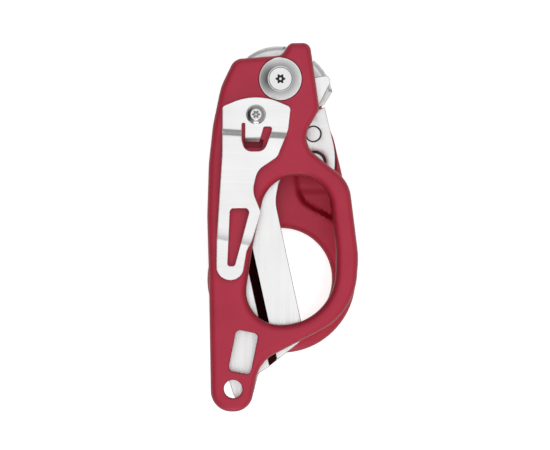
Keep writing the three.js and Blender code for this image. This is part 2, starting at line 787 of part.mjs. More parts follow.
function frontLiner() {
  const corners = [
    [-21.0, 30.0, 3],
    [-18.2, 44.5, 3],
    [-9.4, 47.0, 1.5],
    [-5.6, 49.6, 1],
    [-5.2, 53.2, 2],
    [-2.2, 55.8, 2],
    [2.6, 55.4, 1],
    [5.0, 58.4, 1],
    [8.6, 58.0, 2],
    [11.0, 41.5, 3],
    [7.2, 35.0, 4],
    [7.0, 30.0, 2],
  ];
  const below = FRONT_LINER_BOTTOM - OVERSHOOT;
  const above = FRONT_LINER_TOP + OVERSHOOT;
  const rivetHoles = FRONT_RIVETS.map((rivet) => (
    rod(rivet, RIVET_SHANK_RADIUS + BORE_CLEARANCE, below, above)
  ));
  return cut(
    plate(corners, FRONT_LINER_BOTTOM, FRONT_LINER_TOP),
    rod(FRONT_HINGE, HINGE_BARREL_RADIUS + BORE_CLEARANCE, below, above),
    ...rivetHoles,
  );
}

// ---------------------------------------------------------------- pocket clip

const clipCorners = [
  [-20.6, 41.6, 1.2],
  [-9.2, 46.4, 20],
  [2.9, 41.4, 1.6],
  [2.0, 33.6, 6],
  [-1.7, 24.2, 4],
  [-8.6, 19.6, 6],
  [-10.3, 12.4, 8],
  [-7.4, 5.2, 1.5],
  [-10.5, -4.8, 6],
  [-12.3, -8.0, 5],
  [-14.0, -18.0, 4.2],
  [-22.7, -18.0, 4.4],
  [-22.6, -5.0, 12],
  [-20.7, 25.0, 30],
];

// Height of the clip's underside along Y: the screw tab, the step, the spring arm and the tip.
const clipUnderside = [
  [46, LAYER_GAP],
  [34.0, LAYER_GAP],
  [31.2, CLIP_RAISE],
  [1.0, CLIP_RAISE],
  [-5.0, 0.2],
  [-9.0, 0.5],
  [-19, 2.4],
];

function clipSheet() {
  const across = 30;
  const rightSide = 5;
  const lower = clipUnderside.map(([y, rise]) => new THREE.Vector2(y, FRONT_HANDLE_TOP + rise));
  const upper = lower.map((point) => new THREE.Vector2(point.x, point.y + CLIP_THICKNESS)).reverse();
  const section = new THREE.Shape([...lower, ...upper]);
  const sheet = new THREE.ExtrudeGeometry(section, { depth: across, bevelEnabled: false });
  const placing = new THREE.Matrix4().makeBasis(
    new THREE.Vector3(0, 1, 0),
    new THREE.Vector3(0, 0, 1),
    new THREE.Vector3(1, 0, 0),
  );
  placing.setPosition(rightSide - across, 0, 0);
  return sheet.applyMatrix4(placing);
}

function pocketClip() {
  const low = FRONT_HANDLE_TOP - OVERSHOOT;
  const high = FRONT_HANDLE_TOP + 8;
  const screwHoleRadius = 1.6;
  const slot = [
    [-18.0, 6.6, 1.5],
    [-10.9, 6.6, 1.5],
    [-16.0, -13.2, 0.8],
    [-19.3, -13.2, 0.8],
  ];
  const stepCut = [
    [-15.4, 35.8, 1.0],
    [-13.1, 35.8, 1.0],
    [-13.1, 30.2, 0.4],
    [-7.2, 30.2, 0.4],
    [-5.6, 35.0, 1.2],
    [-2.9, 35.0, 1.2],
    [-2.9, 32.4, 2],
    [-6.3, 26.1, 3.5],
    [-14.4, 26.1, 3.5],
    [-15.4, 30.0, 3],
  ];
  const tongue = [
    [-13.05, 36.5, 0.3],
    [-5.2, 36.5, 0.3],
    [-7.2, 29.6, 0.4],
    [-13.05, 29.6, 0.4],
  ];
  const tongueWindow = [
    [-13.4, 34.2, 0.1],
    [-5.0, 34.2, 0.1],
    [-7.0, 29.0, 0.1],
    [-13.4, 29.0, 0.1],
  ];
  const blank = cut(
    common(clipSheet(), plate(clipCorners, low, high)),
    plate(slot, low, high),
    plate(stepCut, low, high),
    plate(tongueWindow, low, high),
  );
  const tab = FRONT_HANDLE_TOP + LAYER_GAP;
  return cut(
    joined(blank, plate(tongue, tab, tab + CLIP_THICKNESS)),
    rod(CLIP_SCREW, screwHoleRadius, low, high),
  );
}

function clipScrew() {
  const tip = FRONT_HANDLE_TOP - CLIP_SCREW_DEPTH;
  const seat = FRONT_HANDLE_TOP + LAYER_GAP + CLIP_THICKNESS + 0.05;
  const rim = seat + 0.4;
  const crown = seat + 1.55;
  return cut(
    turned(CLIP_SCREW, [
      [0, tip],
      [CLIP_SCREW_SHANK_RADIUS, tip],
      [CLIP_SCREW_SHANK_RADIUS, seat],
      [CLIP_SCREW.radius, seat],
      [CLIP_SCREW.radius, rim],
      [2.7, seat + 1.2],
      [1.8, crown],
      [0, crown],
    ]),
    lobedSocket(CLIP_SCREW, CLIP_SCREW_SOCKET_RADIUS, rim, crown + OVERSHOOT),
  );
}

function clipInsert() {
  const bottom = FRONT_HANDLE_TOP - CLIP_INSERT_DEPTH;
  const top = FRONT_HANDLE_TOP - LAYER_GAP;
  const boreFloor = FRONT_HANDLE_TOP - CLIP_SCREW_DEPTH - BORE_CLEARANCE;
  const boreRadius = CLIP_SCREW_SHANK_RADIUS + SCREW_SHANK_GAP;
  return turned(CLIP_SCREW, [
    [0, bottom],
    [CLIP_INSERT_RADIUS, bottom],
    [CLIP_INSERT_RADIUS, top],
    [boreRadius, top],
    [boreRadius, boreFloor],
    [0, boreFloor],
  ]);
}

// ---------------------------------------------------------------- ring cutter

// The cutter points along +X from its pivot. It is turned into its stowed place by its mesh.
function ringCutter() {
  const corners = [
    [-3.8, -3.8, 3.7],
    [17.0, -3.8, 1.6],
    [18.8, -2.2, 0.5],
    [12.4, -1.6, 0.8],
    [10.6, -0.4, 0.8],
    [12.4, 0.8, 0.8],
    [18.8, 1.0, 0.6],
    [18.0, 3.4, 1.8],
    [-3.8, 3.8, 3.7],
  ];
  return cut(
    plate(corners, CUTTER_SLOT_BOTTOM + CUTTER_GAP, CUTTER_SLOT_TOP - CUTTER_GAP),
    rod({ x: 0, y: 0 }, CUTTER_PIN_RADIUS + CUTTER_GAP, 0, HANDLE_THICKNESS),
  );
}

function cutterPivotPin() {
  return turned(CUTTER_PIVOT, [
    [0, CUTTER_PIN_BOTTOM],
    [CUTTER_PIN_RADIUS, CUTTER_PIN_BOTTOM],
    [CUTTER_PIN_RADIUS, REAR_LINER_BOTTOM],
    [CUTTER_PIN_HEAD_RADIUS, REAR_LINER_BOTTOM],
    [CUTTER_PIN_HEAD_RADIUS, REAR_LINER_TOP - FLUSH_GAP],
    [0, REAR_LINER_TOP - FLUSH_GAP],
  ]);
}

// ---------------------------------------------------------------- assemblies

const LOCK_PIN_SEGMENTS = 16;
const FRONT_HINGE_FACE = FRONT_HANDLE_TOP + FRONT_HINGE_STANDS_OUT;
const FRONT_HINGE_SEAT = FRONT_HANDLE_TOP - HINGE_WASHER_SEAT;

const rearHandleGroup = assembly(
  mesh('rear_handle', rearHandle(), nylon()),
  mesh('rear_liner', rearLiner(), steel()),
  ...REAR_RIVETS.map((rivet, index) => (
    mesh(`rear_liner_rivet_${index + 1}`, rearRivet(rivet), steel())
  )),
  mesh(
    'rear_hinge_barrel',
    hingeBarrel(REAR_HINGE, REAR_BLADE_TOP - HINGE_FLANGE_SINK, 1.6, -1),
    darkSteel(),
  ),
  mesh(
    'rear_hinge_screw',
    hingeScrew(REAR_HINGE, REAR_BLADE_TOP - 2.0, HINGE_WASHER_SEAT, REAR_HINGE_FACE, 0.8),
    steel(),
  ),
  mesh('rear_hinge_washer', hingeWasher(REAR_HINGE, HINGE_WASHER_SEAT, 0.8, 0.2), steel()),
  mesh(
    'rear_lock_pivot',
    rod(REAR_LOCK, LEVER_PIN_RADIUS, REAR_HANDLE_TOP - LEVER_PIN_REACH, REAR_LINER_TOP - LEVER_PIN_SINK),
    darkSteel(),
  ),
  mesh(
    'rear_lock_spring',
    torsionSpring(
      REAR_LOCK,
      REAR_HANDLE_TOP - SPRING_WELL_DEPTH + BORE_CLEARANCE,
      REAR_HANDLE_TOP - SPRING_GAP,
    ),
    darkSteel(),
  ),
  mesh('ring_cutter_pivot', cutterPivotPin(), steel()),
);

const rearLockGroup = assembly(
  mesh('rear_lock_lever', rearLever(), steel()),
  mesh(
    'rear_lock_pin',
    rod(rearPinPlace, LOCK_PIN_RADIUS, REAR_LINER_BOTTOM, REAR_BLADE_TOP - 0.2, LOCK_PIN_SEGMENTS),
    darkSteel(),
  ),
);

const cutterMesh = mesh('ring_cutter', ringCutter(), steel());
cutterMesh.position.set(CUTTER_PIVOT.x, CUTTER_PIVOT.y, 0);
cutterMesh.rotation.z = radians(CUTTER_STOWED_DEGREES);

const rearBladeGroup = assembly(
  mesh('rear_blade', rearBlade(), steel()),
  mesh('blade_pivot_nut', pivotNut(), darkSteel()),
  mesh('blade_pivot_screw', pivotScrew(), darkSteel()),
);

const frontBladeGroup = assembly(mesh('front_blade', frontBlade(), steel()));

const frontHandleGroup = assembly(
  mesh('front_handle', frontHandle(), nylon()),
  mesh('front_liner', frontLiner(), steel()),
  ...FRONT_RIVETS.map((rivet, index) => (
    mesh(
      `front_liner_rivet_${index + 1}`,
      rod(
        rivet,
        RIVET_SHANK_RADIUS,
        FRONT_LINER_BOTTOM + FLUSH_GAP,
        FRONT_HANDLE_BOTTOM + FRONT_RIVET_DEPTH,
      ),
      steel(),
    )
  )),
  mesh(
    'front_hinge_barrel',
    hingeBarrel(FRONT_HINGE, FRONT_BLADE_BOTTOM + HINGE_FLANGE_SINK, FRONT_HANDLE_TOP - 1.6, 1),
    darkSteel(),
  ),
  mesh(
    'front_hinge_screw',
    hingeScrew(FRONT_HINGE, FRONT_BLADE_BOTTOM + 2.0, FRONT_HINGE_SEAT, FRONT_HINGE_FACE, 1.2),
    steel(),
  ),
  mesh(
    'front_hinge_washer',
    hingeWasher(FRONT_HINGE, FRONT_HINGE_SEAT, FRONT_HANDLE_TOP - 0.5, FRONT_HINGE_FACE),
    steel(),
  ),
  mesh(
    'front_lock_pivot',
    rod(
      FRONT_LOCK,
      LEVER_PIN_RADIUS,
      FRONT_LINER_BOTTOM + LEVER_PIN_SINK,
      FRONT_HANDLE_BOTTOM + LEVER_PIN_REACH,
    ),
    darkSteel(),
  ),
  mesh(
    'front_lock_spring',
    torsionSpring(
      FRONT_LOCK,
      FRONT_HANDLE_BOTTOM + SPRING_GAP,
      FRONT_HANDLE_BOTTOM + SPRING_WELL_DEPTH - BORE_CLEARANCE,
    ),
    darkSteel(),
  ),
  mesh('pocket_clip', pocketClip(), steel()),
  mesh('clip_screw', clipScrew(), steel()),
  mesh('clip_insert', clipInsert(), brass()),
);

const frontLockGroup = assembly(
  mesh('front_lock_lever', frontLever(), steel()),
  mesh(
    'front_lock_pin',
    rod(frontPinPlace, LOCK_PIN_RADIUS, FRONT_BLADE_BOTTOM + 0.2, FRONT_LINER_TOP, LOCK_PIN_SEGMENTS),
    darkSteel(),
  ),
);

const shears = assembly(
  rearHandleGroup,
  rearLockGroup,
  cutterMesh,
  rearBladeGroup,
  frontBladeGroup,
  frontHandleGroup,
  frontLockGroup,
);

export default shears;
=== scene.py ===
# Looks for the folding rescue shears. Outlines are in millimetres in the CAD frame: +X to the finger
# loop, +Y to the hinge end, +Z from the rear handle to the front handle. Heights come from the frame.

import json
import math

import bmesh
import bpy
import numpy as np
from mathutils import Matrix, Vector
from mathutils.geometry import delaunay_2d_cdt


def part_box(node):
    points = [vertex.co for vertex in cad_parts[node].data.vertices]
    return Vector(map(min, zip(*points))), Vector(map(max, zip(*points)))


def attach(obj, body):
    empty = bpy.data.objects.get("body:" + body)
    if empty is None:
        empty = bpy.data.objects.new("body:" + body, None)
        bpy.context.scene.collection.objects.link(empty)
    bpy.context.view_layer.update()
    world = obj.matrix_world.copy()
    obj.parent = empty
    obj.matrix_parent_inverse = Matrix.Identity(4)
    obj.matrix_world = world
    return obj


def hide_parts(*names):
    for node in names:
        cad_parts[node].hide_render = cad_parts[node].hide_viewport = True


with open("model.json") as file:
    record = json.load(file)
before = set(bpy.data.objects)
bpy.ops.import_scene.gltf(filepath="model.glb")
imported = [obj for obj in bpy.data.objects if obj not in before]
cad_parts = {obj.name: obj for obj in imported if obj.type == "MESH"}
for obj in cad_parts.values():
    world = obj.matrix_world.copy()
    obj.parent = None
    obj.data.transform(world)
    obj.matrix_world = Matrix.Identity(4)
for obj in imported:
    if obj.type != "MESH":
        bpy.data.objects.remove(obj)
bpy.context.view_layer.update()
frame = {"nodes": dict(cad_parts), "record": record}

MM = 0.001

# ---------------------------------------------------------------- places and sizes (mm)

BLADE_PIVOT = (-15.3, 22.9)
FRONT_HINGE = (-0.7, 51.1)
REAR_HINGE = (-1.3, 43.8)
FRONT_LOCK = (-10.5, 52.1)
REAR_LOCK = (8.6, 44.1)
CUTTER_PIVOT = (11.1, 22.4)
CLIP_SCREW = (-9.1, 38.8)
LANYARD_HOLE = (-17.0, -55.7)
LANYARD_RADIUS = 3.2
THUMB_RING = (-0.4, -17.9)
THUMB_RING_OUTER = 25.7
THUMB_RING_INNER = 17.6
PAD_RIM = REAR_HINGE
PAD_RIM_RADIUS = 18.8
HANDLE_FILLET = 2.55
WASHER_RADIUS = 7.4
SCREW_HEAD_RADIUS = 4.0
BARREL_HOLE_RADIUS = 3.1
FLANGE_HOLE_RADIUS = 4.55
PIN_ORBIT = 6.6
PIN_TRACK_HALF = 1.25
PIN_TRAVEL = 1.0
PIN_TRACK_POINTS = 24
POCKET_SHOULDER = 0.6
CLIP_RAISE = 1.9
CLIP_THICKNESS = 1.1

# Mesh limits, in mm and mm2: closer outline points and thinner triangles are dropped.
SMALLEST_STEP = 0.07
SMALLEST_AREA = 0.0001
FILL_TOLERANCE = 1e-5
MERGE_DISTANCE_M = 1e-7
CREASE_ANGLE = 38.0


def heights(node):
    """The lowest and highest z of a CAD node, in millimetres."""
    low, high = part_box(node)
    return low[2] / MM, high[2] / MM


# ---------------------------------------------------------------- outlines

def fitted_radii(corners):
    """Corner radii, made smaller where two neighbouring arcs would not fit on their shared side."""
    share, tiny = 0.99, 1e-9
    count = len(corners)
    spots = [Vector(corner[:2]) for corner in corners]
    sides = [spots[(k + 1) % count] - spots[k] for k in range(count)]
    reach = []
    for k, corner in enumerate(corners):
        turn = sides[k - 1].angle(sides[k])
        reach.append(corner[2] * math.tan(turn / 2))
    radii = []
    for k, corner in enumerate(corners):
        before = reach[k - 1] + reach[k]
        after = reach[k] + reach[(k + 1) % count]
        fit = min(
            1.0,
            sides[k - 1].length * share / max(before, tiny),
            sides[k].length * share / max(after, tiny),
        )
        radii.append(corner[2] * fit)
    return radii


def rounded(corners, step=4.0):
    """Points of a closed outline whose corners (x, y, radius) are joined by lines and arcs."""
    points = []
    count = len(corners)
    for index, radius in enumerate(fitted_radii(corners)):
        x, y = corners[index][:2]
        here = Vector((x, y))
        if radius == 0:
            points.append(here)
            continue
        incoming = (here - Vector(corners[index - 1][:2])).normalized()
        outgoing = (Vector(corners[(index + 1) % count][:2]) - here).normalized()
        cross = incoming.x * outgoing.y - incoming.y * outgoing.x
        turn = math.atan2(cross, incoming.dot(outgoing))
        start = here - incoming * radius * math.tan(abs(turn) / 2)
        side = math.copysign(1, turn)
        centre = start + Vector((-incoming.y, incoming.x)) * side * radius
        arm = start - centre
        steps = max(2, math.ceil(abs(math.degrees(turn)) / step))
        for k in range(steps + 1):
            angle = turn * k / steps
            cosine, sine = math.cos(angle), math.sin(angle)
            swung = Vector((arm.x * cosine - arm.y * sine, arm.x * sine + arm.y * cosine))
            points.append(centre + swung)
    spaced = []
    for point in points:
        if not spaced or (point - spaced[-1]).length > SMALLEST_STEP:
            spaced.append(point)
    if (spaced[0] - spaced[-1]).length <= SMALLEST_STEP:
        spaced.pop()
    return divided(counterclockwise([(p.x, p.y) for p in spaced]))


def divided(points, longest=2.5):
    """The same outline with its long straight stretches divided."""
    result = []
    for (x0, y0), (x1, y1) in zip(points, points[1:] + points[:1]):
        parts = max(1, math.ceil(math.hypot(x1 - x0, y1 - y0) / longest))
        result += [(x0 + (x1 - x0) * k / parts, y0 + (y1 - y0) * k / parts) for k in range(parts)]
    return result


def counterclockwise(points):
    area = sum(x0 * y1 - x1 * y0 for (x0, y0), (x1, y1) in zip(points, points[1:] + points[:1]))
    return points if area > 0 else points[::-1]


def on_circle(centre, radius, degrees):
    angle = math.radians(degrees)
    return (centre[0] + radius * math.cos(angle), centre[1] + radius * math.sin(angle))


def circle(centre, radius, count=72):
    return [on_circle(centre, radius, 360 * k / count) for k in range(count)]


def arc_corners(centre, radius, start, end, count):
    """Corners whose arcs together follow one large arc between two angles."""
    span = (end - start) / count
    reach = radius / math.cos(math.radians(span / 2))
    return [(*on_circle(centre, reach, start + span * (k + 0.5)), radius) for k in range(count)]


def lobed(centre, radius, count=72):
    """A six-lobed screw socket."""
    lobes, lobe_height = 6, 0.17
    points = []
    for k in range(count):
        wave = math.cos(math.radians(lobes * 360 * k / count))
        points.append(on_circle(centre, radius * (1 - lobe_height + lobe_height * wave), 360 * k / count))
    return points


def pocket_at(hinge, degrees, half_angle):
    """Points round the outward pocket at one end of a pin track."""
    far = PIN_ORBIT + PIN_TRACK_HALF + PIN_TRAVEL
    shoulder = far - POCKET_SHOULDER
    return [
        on_circle(hinge, shoulder, degrees - half_angle), on_circle(hinge, far, degrees - half_angle * 0.4),
        on_circle(hinge, far, degrees + half_angle * 0.4), on_circle(hinge, shoulder, degrees + half_angle),
    ]


def pin_track(hinge, start, end):
    """The curved track of a lock pin round a hinge, with a pocket outward at each end."""
    near, far = PIN_ORBIT - PIN_TRACK_HALF, PIN_ORBIT + PIN_TRACK_HALF
    half = math.degrees(PIN_TRACK_HALF / PIN_ORBIT)
    inner = np.linspace(end + half * 0.6, start - half * 0.6, PIN_TRACK_POINTS)
    outer = np.linspace(start + half * 1.1, end - half * 1.1, PIN_TRACK_POINTS)
    points = [on_circle(hinge, near, a) for a in inner]
    points += pocket_at(hinge, start, half)
    points += [on_circle(hinge, far, a) for a in outer]
    points += pocket_at(hinge, end, half)
    return counterclockwise(points)


FRONT_HANDLE = rounded([
    (-16.6, 58.0, 4.5), (-0.3, 59.2, 3), (2.4, 63.5, 2.7), (9.45, 63.6, 2.8), (12.75, 40.8, 3.5),
    (6.1, 29.2, 7.6), (23.0, 15.6, 12), (26.2, -10, 30), (24.8, -29.5, 23), (-7.9, -46.3, 12),
    (-11.3, -63.5, 6.6), (-24.6, -63.5, 7.1), (-25.35, -18, 60), (-25.95, 4, 50), (-25.4, 22, 40),
    (-24.0, 35, 30), (-21.2, 48.5, 20),
])
FINGER_HOLE = rounded([
    (-5.1, 17.8, 12.2), (15.5, 17.8, 11.3), (18.5, -8, 40), (17.9, -33.6, 18.6), (-14.4, -33.6, 11.6),
    (-10.3, -6.7, 60),
])
REAR_HANDLE = rounded([
    (-15.8, 58.0, 12.5), (11.4, 58.0, 8), (13.8, 41, 10), (17.9, 30.5, 12), (20.9, 17.5, 25),
    *arc_corners(THUMB_RING, THUMB_RING_OUTER, 8.6, -193.4, 4), (-19.5, 12, 15),
])
REAR_LINER = rounded([
    (-16.3, 58.6, 14.5), (0.2, 58.8, 1.5), (0.2, 49.4, 1), (2.9, 46.0, 1), (4.6, 39.9, 1.5),
    (8.6, 40.3, 1), (13.4, 41.1, 0.5), (14.6, 41.75, 0.3), (15.0, 40.4, 2), (18.4, 26, 25),
    (18.1, 19.2, 1.5), (5.0, 19.2, 2), (1.0, 30.0, 6), (-14.5, 29.0, 10), (-16.3, 40, 10),
])
FRONT_LINER = rounded([
    (-21.0, 30.0, 3), (-18.2, 44.5, 3), (-9.4, 47.0, 1.5), (-5.6, 49.6, 1), (-5.2, 53.2, 2),
    (-2.2, 55.8, 2), (2.6, 55.4, 1), (5.0, 58.4, 1), (8.6, 58.0, 2), (11.0, 41.5, 3),
    (7.2, 35.0, 4), (7.0, 30.0, 2),
])
FRONT_LEVER = [
    (1.4, 62.5, 0.3), (1.1, 57.9, 0.5), (-3.6, 56.6, 0.9), (-3.4, 54.9, 0.7), (-6.0, 54.2, 1.2),
    (-8.4, 49.6, 2), (-12.6, 49.6, 2.6), (-13.2, 56.2, 4), (-12.2, 59.0, 0.4), (-6.5, 63.2, 17.6),
]
REAR_LEVER = [
    (11.0, 58.2, 0.4), (15.8, 53.7, 18.0), (17.5, 47.2, 0.8), (14.4, 42.3, 1.5), (8.4, 40.9, 3),
    (5.3, 42.6, 2.4), (5.0, 46.3, 1), (1.6, 47.9, 1.3), (2.0, 50.9, 1.5), (6.5, 51.4, 3),
]
REAR_BLADE = rounded([
    (-12.3, 54.8, 10.8), (9.7, 54.8, 10.8), (9.7, 36.5, 9), (-7.9, 19.5, 6), (-4.4, -48.2, 0.4),
    (-8.3, -50.6, 3), (-10.6, -59.8, 2.9), (-16.4, -59.8, 2.8), (-19.3, -50.5, 8), (-22.0, 22.5, 20),
    (-21.6, 30.5, 6), (-12.3, 40.0, 8),
])
FRONT_BLADE = rounded([
    (-9.6, 58.2, 8), (7.0, 57.6, 5), (10.6, 51.7, 1), (15.9, 52.6, 1.2), (16.7, 50.2, 1.6),
    (-1.3, 15.2, 8), (-2.5, 9.0, 14), (7.7, -38.3, 5), (-4.6, -48.1, 0.4), (-20.4, 24.0, 6),
    (-19.8, 30.5, 6), (-9.8, 44.0, 9),
])
CLIP = rounded([
    (-20.6, 41.6, 1.2), (-9.2, 46.4, 20), (2.9, 41.4, 1.6), (2.0, 33.6, 6), (-1.7, 24.2, 4),
    (-8.6, 19.6, 6), (-10.3, 12.4, 8), (-7.4, 5.2, 1.5), (-10.5, -4.8, 6), (-12.3, -8.0, 5),
    (-14.0, -18.0, 4.2), (-22.7, -18.0, 4.4), (-22.6, -5.0, 12), (-20.7, 25.0, 30),
])
CLIP_SLOT = rounded([(-18.0, 6.6, 1.5), (-11.1, 6.6, 1.5), (-16.5, -13.3, 0.9), (-18.9, -13.3, 0.9)])
CLIP_STEP_CUT = rounded([
    (-14.0, 35.9, 0.7), (-12.9, 35.9, 0.5), (-12.9, 29.4, 0.4), (-7.9, 29.4, 0.4), (-6.4, 34.6, 0.7),
    (-3.6, 34.6, 0.7), (-4.0, 32.4, 2), (-6.4, 26.1, 3.0), (-12.9, 26.1, 3.0), (-14.0, 30.0, 3),
], step=12)
CUTTER = rounded([
    (-3.8, -3.8, 3.7), (17.0, -3.8, 1.6), (18.8, -2.2, 0.5), (12.4, -1.6, 0.8), (10.6, -0.4, 0.8),
    (12.4, 0.8, 0.8), (18.8, 1.0, 0.6), (18.0, 3.4, 1.8), (-3.8, 3.8, 3.7),
], step=10)


def turned_about(centre, degrees, points):
    """Points (x, y, ...) turned by an angle and moved to a centre."""
    cosine, sine = math.cos(math.radians(degrees)), math.sin(math.radians(degrees))
    return [
        (centre[0] + x * cosine - y * sine, centre[1] + x * sine + y * cosine, *rest)
        for x, y, *rest in points
    ]


def wrench_slot():
    """A rounded slot that leans with the handle's tail."""
    half_width, half_length, radius = 3.9, 7.25, 1.6
    corners = [
        (-half_width, half_length, radius), (half_width, half_length, radius),
        (half_width, -half_length, radius), (-half_width, -half_length, radius),
    ]
    return rounded(turned_about((-13.5, -43.0), -11.4, corners), step=8)


# ---------------------------------------------------------------- mesh building

class Surface:
    """Collects points and faces in millimetres and turns them into one Blender object."""

    def __init__(self):
        self.points = []
        self.faces = []
        self.finishes = []
        self.finish = 0

    def ring(self, outline, height):
        """Adds a loop of points at a height, or at the heights that a function gives."""
        first = len(self.points)
        for x, y in outline:
            z = height(x, y) if callable(height) else height
            self.points.append((x, y, z))
        return list(range(first, len(self.points)))

    def face(self, corners):
        self.faces.append(tuple(corners))
        self.finishes.append(self.finish)

    def bridge(self, lower, upper):
        """Joins two loops with the same number of points by a band of faces."""
        for k, a in enumerate(lower):
            b = lower[(k + 1) % len(lower)]
            self.face((a, b, upper[(k + 1) % len(upper)], upper[k]))

    def fill(self, rings, spacing=None, height=None, creases=(), finish_at=None):
        """Fills the area inside the first ring and outside the others with triangles.

        spacing adds a grid of points inside, and creases are lines that the triangles keep to.
        """
        ids = [v for ring in rings for v in ring]
        flat = [self.points[v][:2] for v in ids]
        segments = []
        start = 0
        for ring in rings:
            size = len(ring)
            segments += [(start + k, start + (k + 1) % size) for k in range(size)]
            start += size
        outline = np.array([[flat[a], flat[b]] for a, b in segments])
        extra = [] if spacing is None else inner_grid(outline, spacing)
        for crease in creases:
            base = len(flat) + len(extra)
            extra += crease
            segments += [(base + k, base + k + 1) for k in range(len(crease) - 1)]
        coordinates = [Vector(p) for p in flat + extra]
        verts, _, faces, origins, _, _ = delaunay_2d_cdt(coordinates, segments, [], 0, FILL_TOLERANCE)
        known = {}
        for index, source in enumerate(origins):
            old = [s for s in source if s < len(ids)]
            if old:
                known[index] = ids[old[0]]
            else:
                x, y = verts[index]
                known[index] = len(self.points)
                self.points.append((x, y, height(x, y)))
        middles = np.array([[sum(verts[v][a] for v in f) / len(f) for a in (0, 1)] for f in faces])
        for face, middle, keep in zip(faces, middles, inside(middles, outline)):
            if keep and triangle_area(*(verts[v] for v in face)) > SMALLEST_AREA:
                if finish_at is not None:
                    self.finish = finish_at(*middle)
                self.face([known[v] for v in face])
        self.finish = 0

    def mesh(self, name):
        mesh = bpy.data.meshes.new(name)
        mesh.from_pydata([(x * MM, y * MM, z * MM) for x, y, z in self.points], [], self.faces)
        return mesh

    def build(self, name, materials, body, stands_for, sharp=CREASE_ANGLE):
        """Makes the piece, which rides on a body and takes the place of some CAD nodes."""
        mesh = self.mesh(name)
        mesh.validate()
        for material in materials:
            mesh.materials.append(material)
        for polygon, finish in zip(mesh.polygons, self.finishes):
            polygon.material_index = finish
        fix_normals(mesh)
        shade_smooth(mesh, sharp)
        piece = bpy.data.objects.new(name, mesh)
        bpy.context.scene.collection.objects.link(piece)
        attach(piece, body)
        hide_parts(*stands_for)
        return piece


def shade_smooth(mesh, sharp):
    """Smooth shading that breaks at edges sharper than an angle in degrees."""
    mesh.polygons.foreach_set("use_smooth", [True] * len(mesh.polygons))
    mesh.set_sharp_from_angle(angle=math.radians(sharp))


def fix_normals(mesh):
    """Merges doubled points and turns every face outward."""
    work = bmesh.new()
    work.from_mesh(mesh)
    bmesh.ops.remove_doubles(work, verts=work.verts, dist=MERGE_DISTANCE_M)
    bmesh.ops.recalc_face_normals(work, faces=work.faces)
    work.to_mesh(mesh)
    work.free()


def inside(points, outline):
    """Which points lie inside, by crossing count over all the rings at once."""
    a, b = outline[:, 0], outline[:, 1]
    result = np.zeros(len(points), dtype=bool)
    for index, (x, y) in enumerate(points):
        spans = (a[:, 1] > y) != (b[:, 1] > y)
        s, e = a[spans], b[spans]
        crossing = s[:, 0] + (y - s[:, 1]) / (e[:, 1] - s[:, 1]) * (e[:, 0] - s[:, 0])
        result[index] = np.count_nonzero(crossing > x) % 2 == 1
    return result


def triangle_area(a, b, c):
    first, second = b - a, c - a
    return abs(first.x * second.y - first.y * second.x) / 2


def inner_grid(outline, spacing):
    """Points of a triangular grid inside the rings and not too near them."""
    row_step, clearance = 0.87, 0.55
    low, high = outline.min(axis=(0, 1)), outline.max(axis=(0, 1))
    rows = np.arange(low[1] + spacing / 2, high[1], spacing * row_step)
    points = np.array([
        (x, y)
        for row, y in enumerate(rows)
        for x in np.arange(low[0] + spacing * (0.5 + 0.5 * (row % 2)), high[0], spacing)
    ])
    points = points[inside(points, outline)]
    a, b = outline[:, 0], outline[:, 1]
    along = b - a
    length = (along ** 2).sum(axis=1)
    kept = []
    for point in points:
        t = np.clip(((point - a) * along).sum(axis=1) / length, 0, 1)
        near = ((a + along * t[:, None] - point) ** 2).sum(axis=1).min()
        if near > (spacing * clearance) ** 2:
            kept.append((float(point[0]), float(point[1])))
    return kept


def inset(outline, distance):
    """Moves a counterclockwise outline inward, or outward when distance is negative."""
    most_stretch, least_cosine = 1.6, 0.3
    moved = []
    count = len(outline)
    for k, (x, y) in enumerate(outline):
        before, after = outline[k - 1], outline[(k + 1) % count]
        first = Vector((x - before[0], y - before[1])).normalized()
        second = Vector((after[0] - x, after[1] - y)).normalized()
        normal = Vector((-first.y - second.y, first.x + second.x)).normalized()
        cosine = normal.dot(Vector((-first.y, first.x)))
        stretch = min(most_stretch, 1 / max(least_cosine, cosine))
        moved.append((x + normal.x * distance * stretch, y + normal.y * distance * stretch))
    return moved


def fillet_steps(radius, steps):
    """(inset, drop) pairs of a quarter round, from the side wall to the flat face."""
    if radius == 0:
        return [(0.0, 0.0)]
    quarter = [math.pi / 2 * k / steps for k in range(steps + 1)]
    return [(radius * (1 - math.cos(a)), radius * (1 - math.sin(a))) for a in quarter]


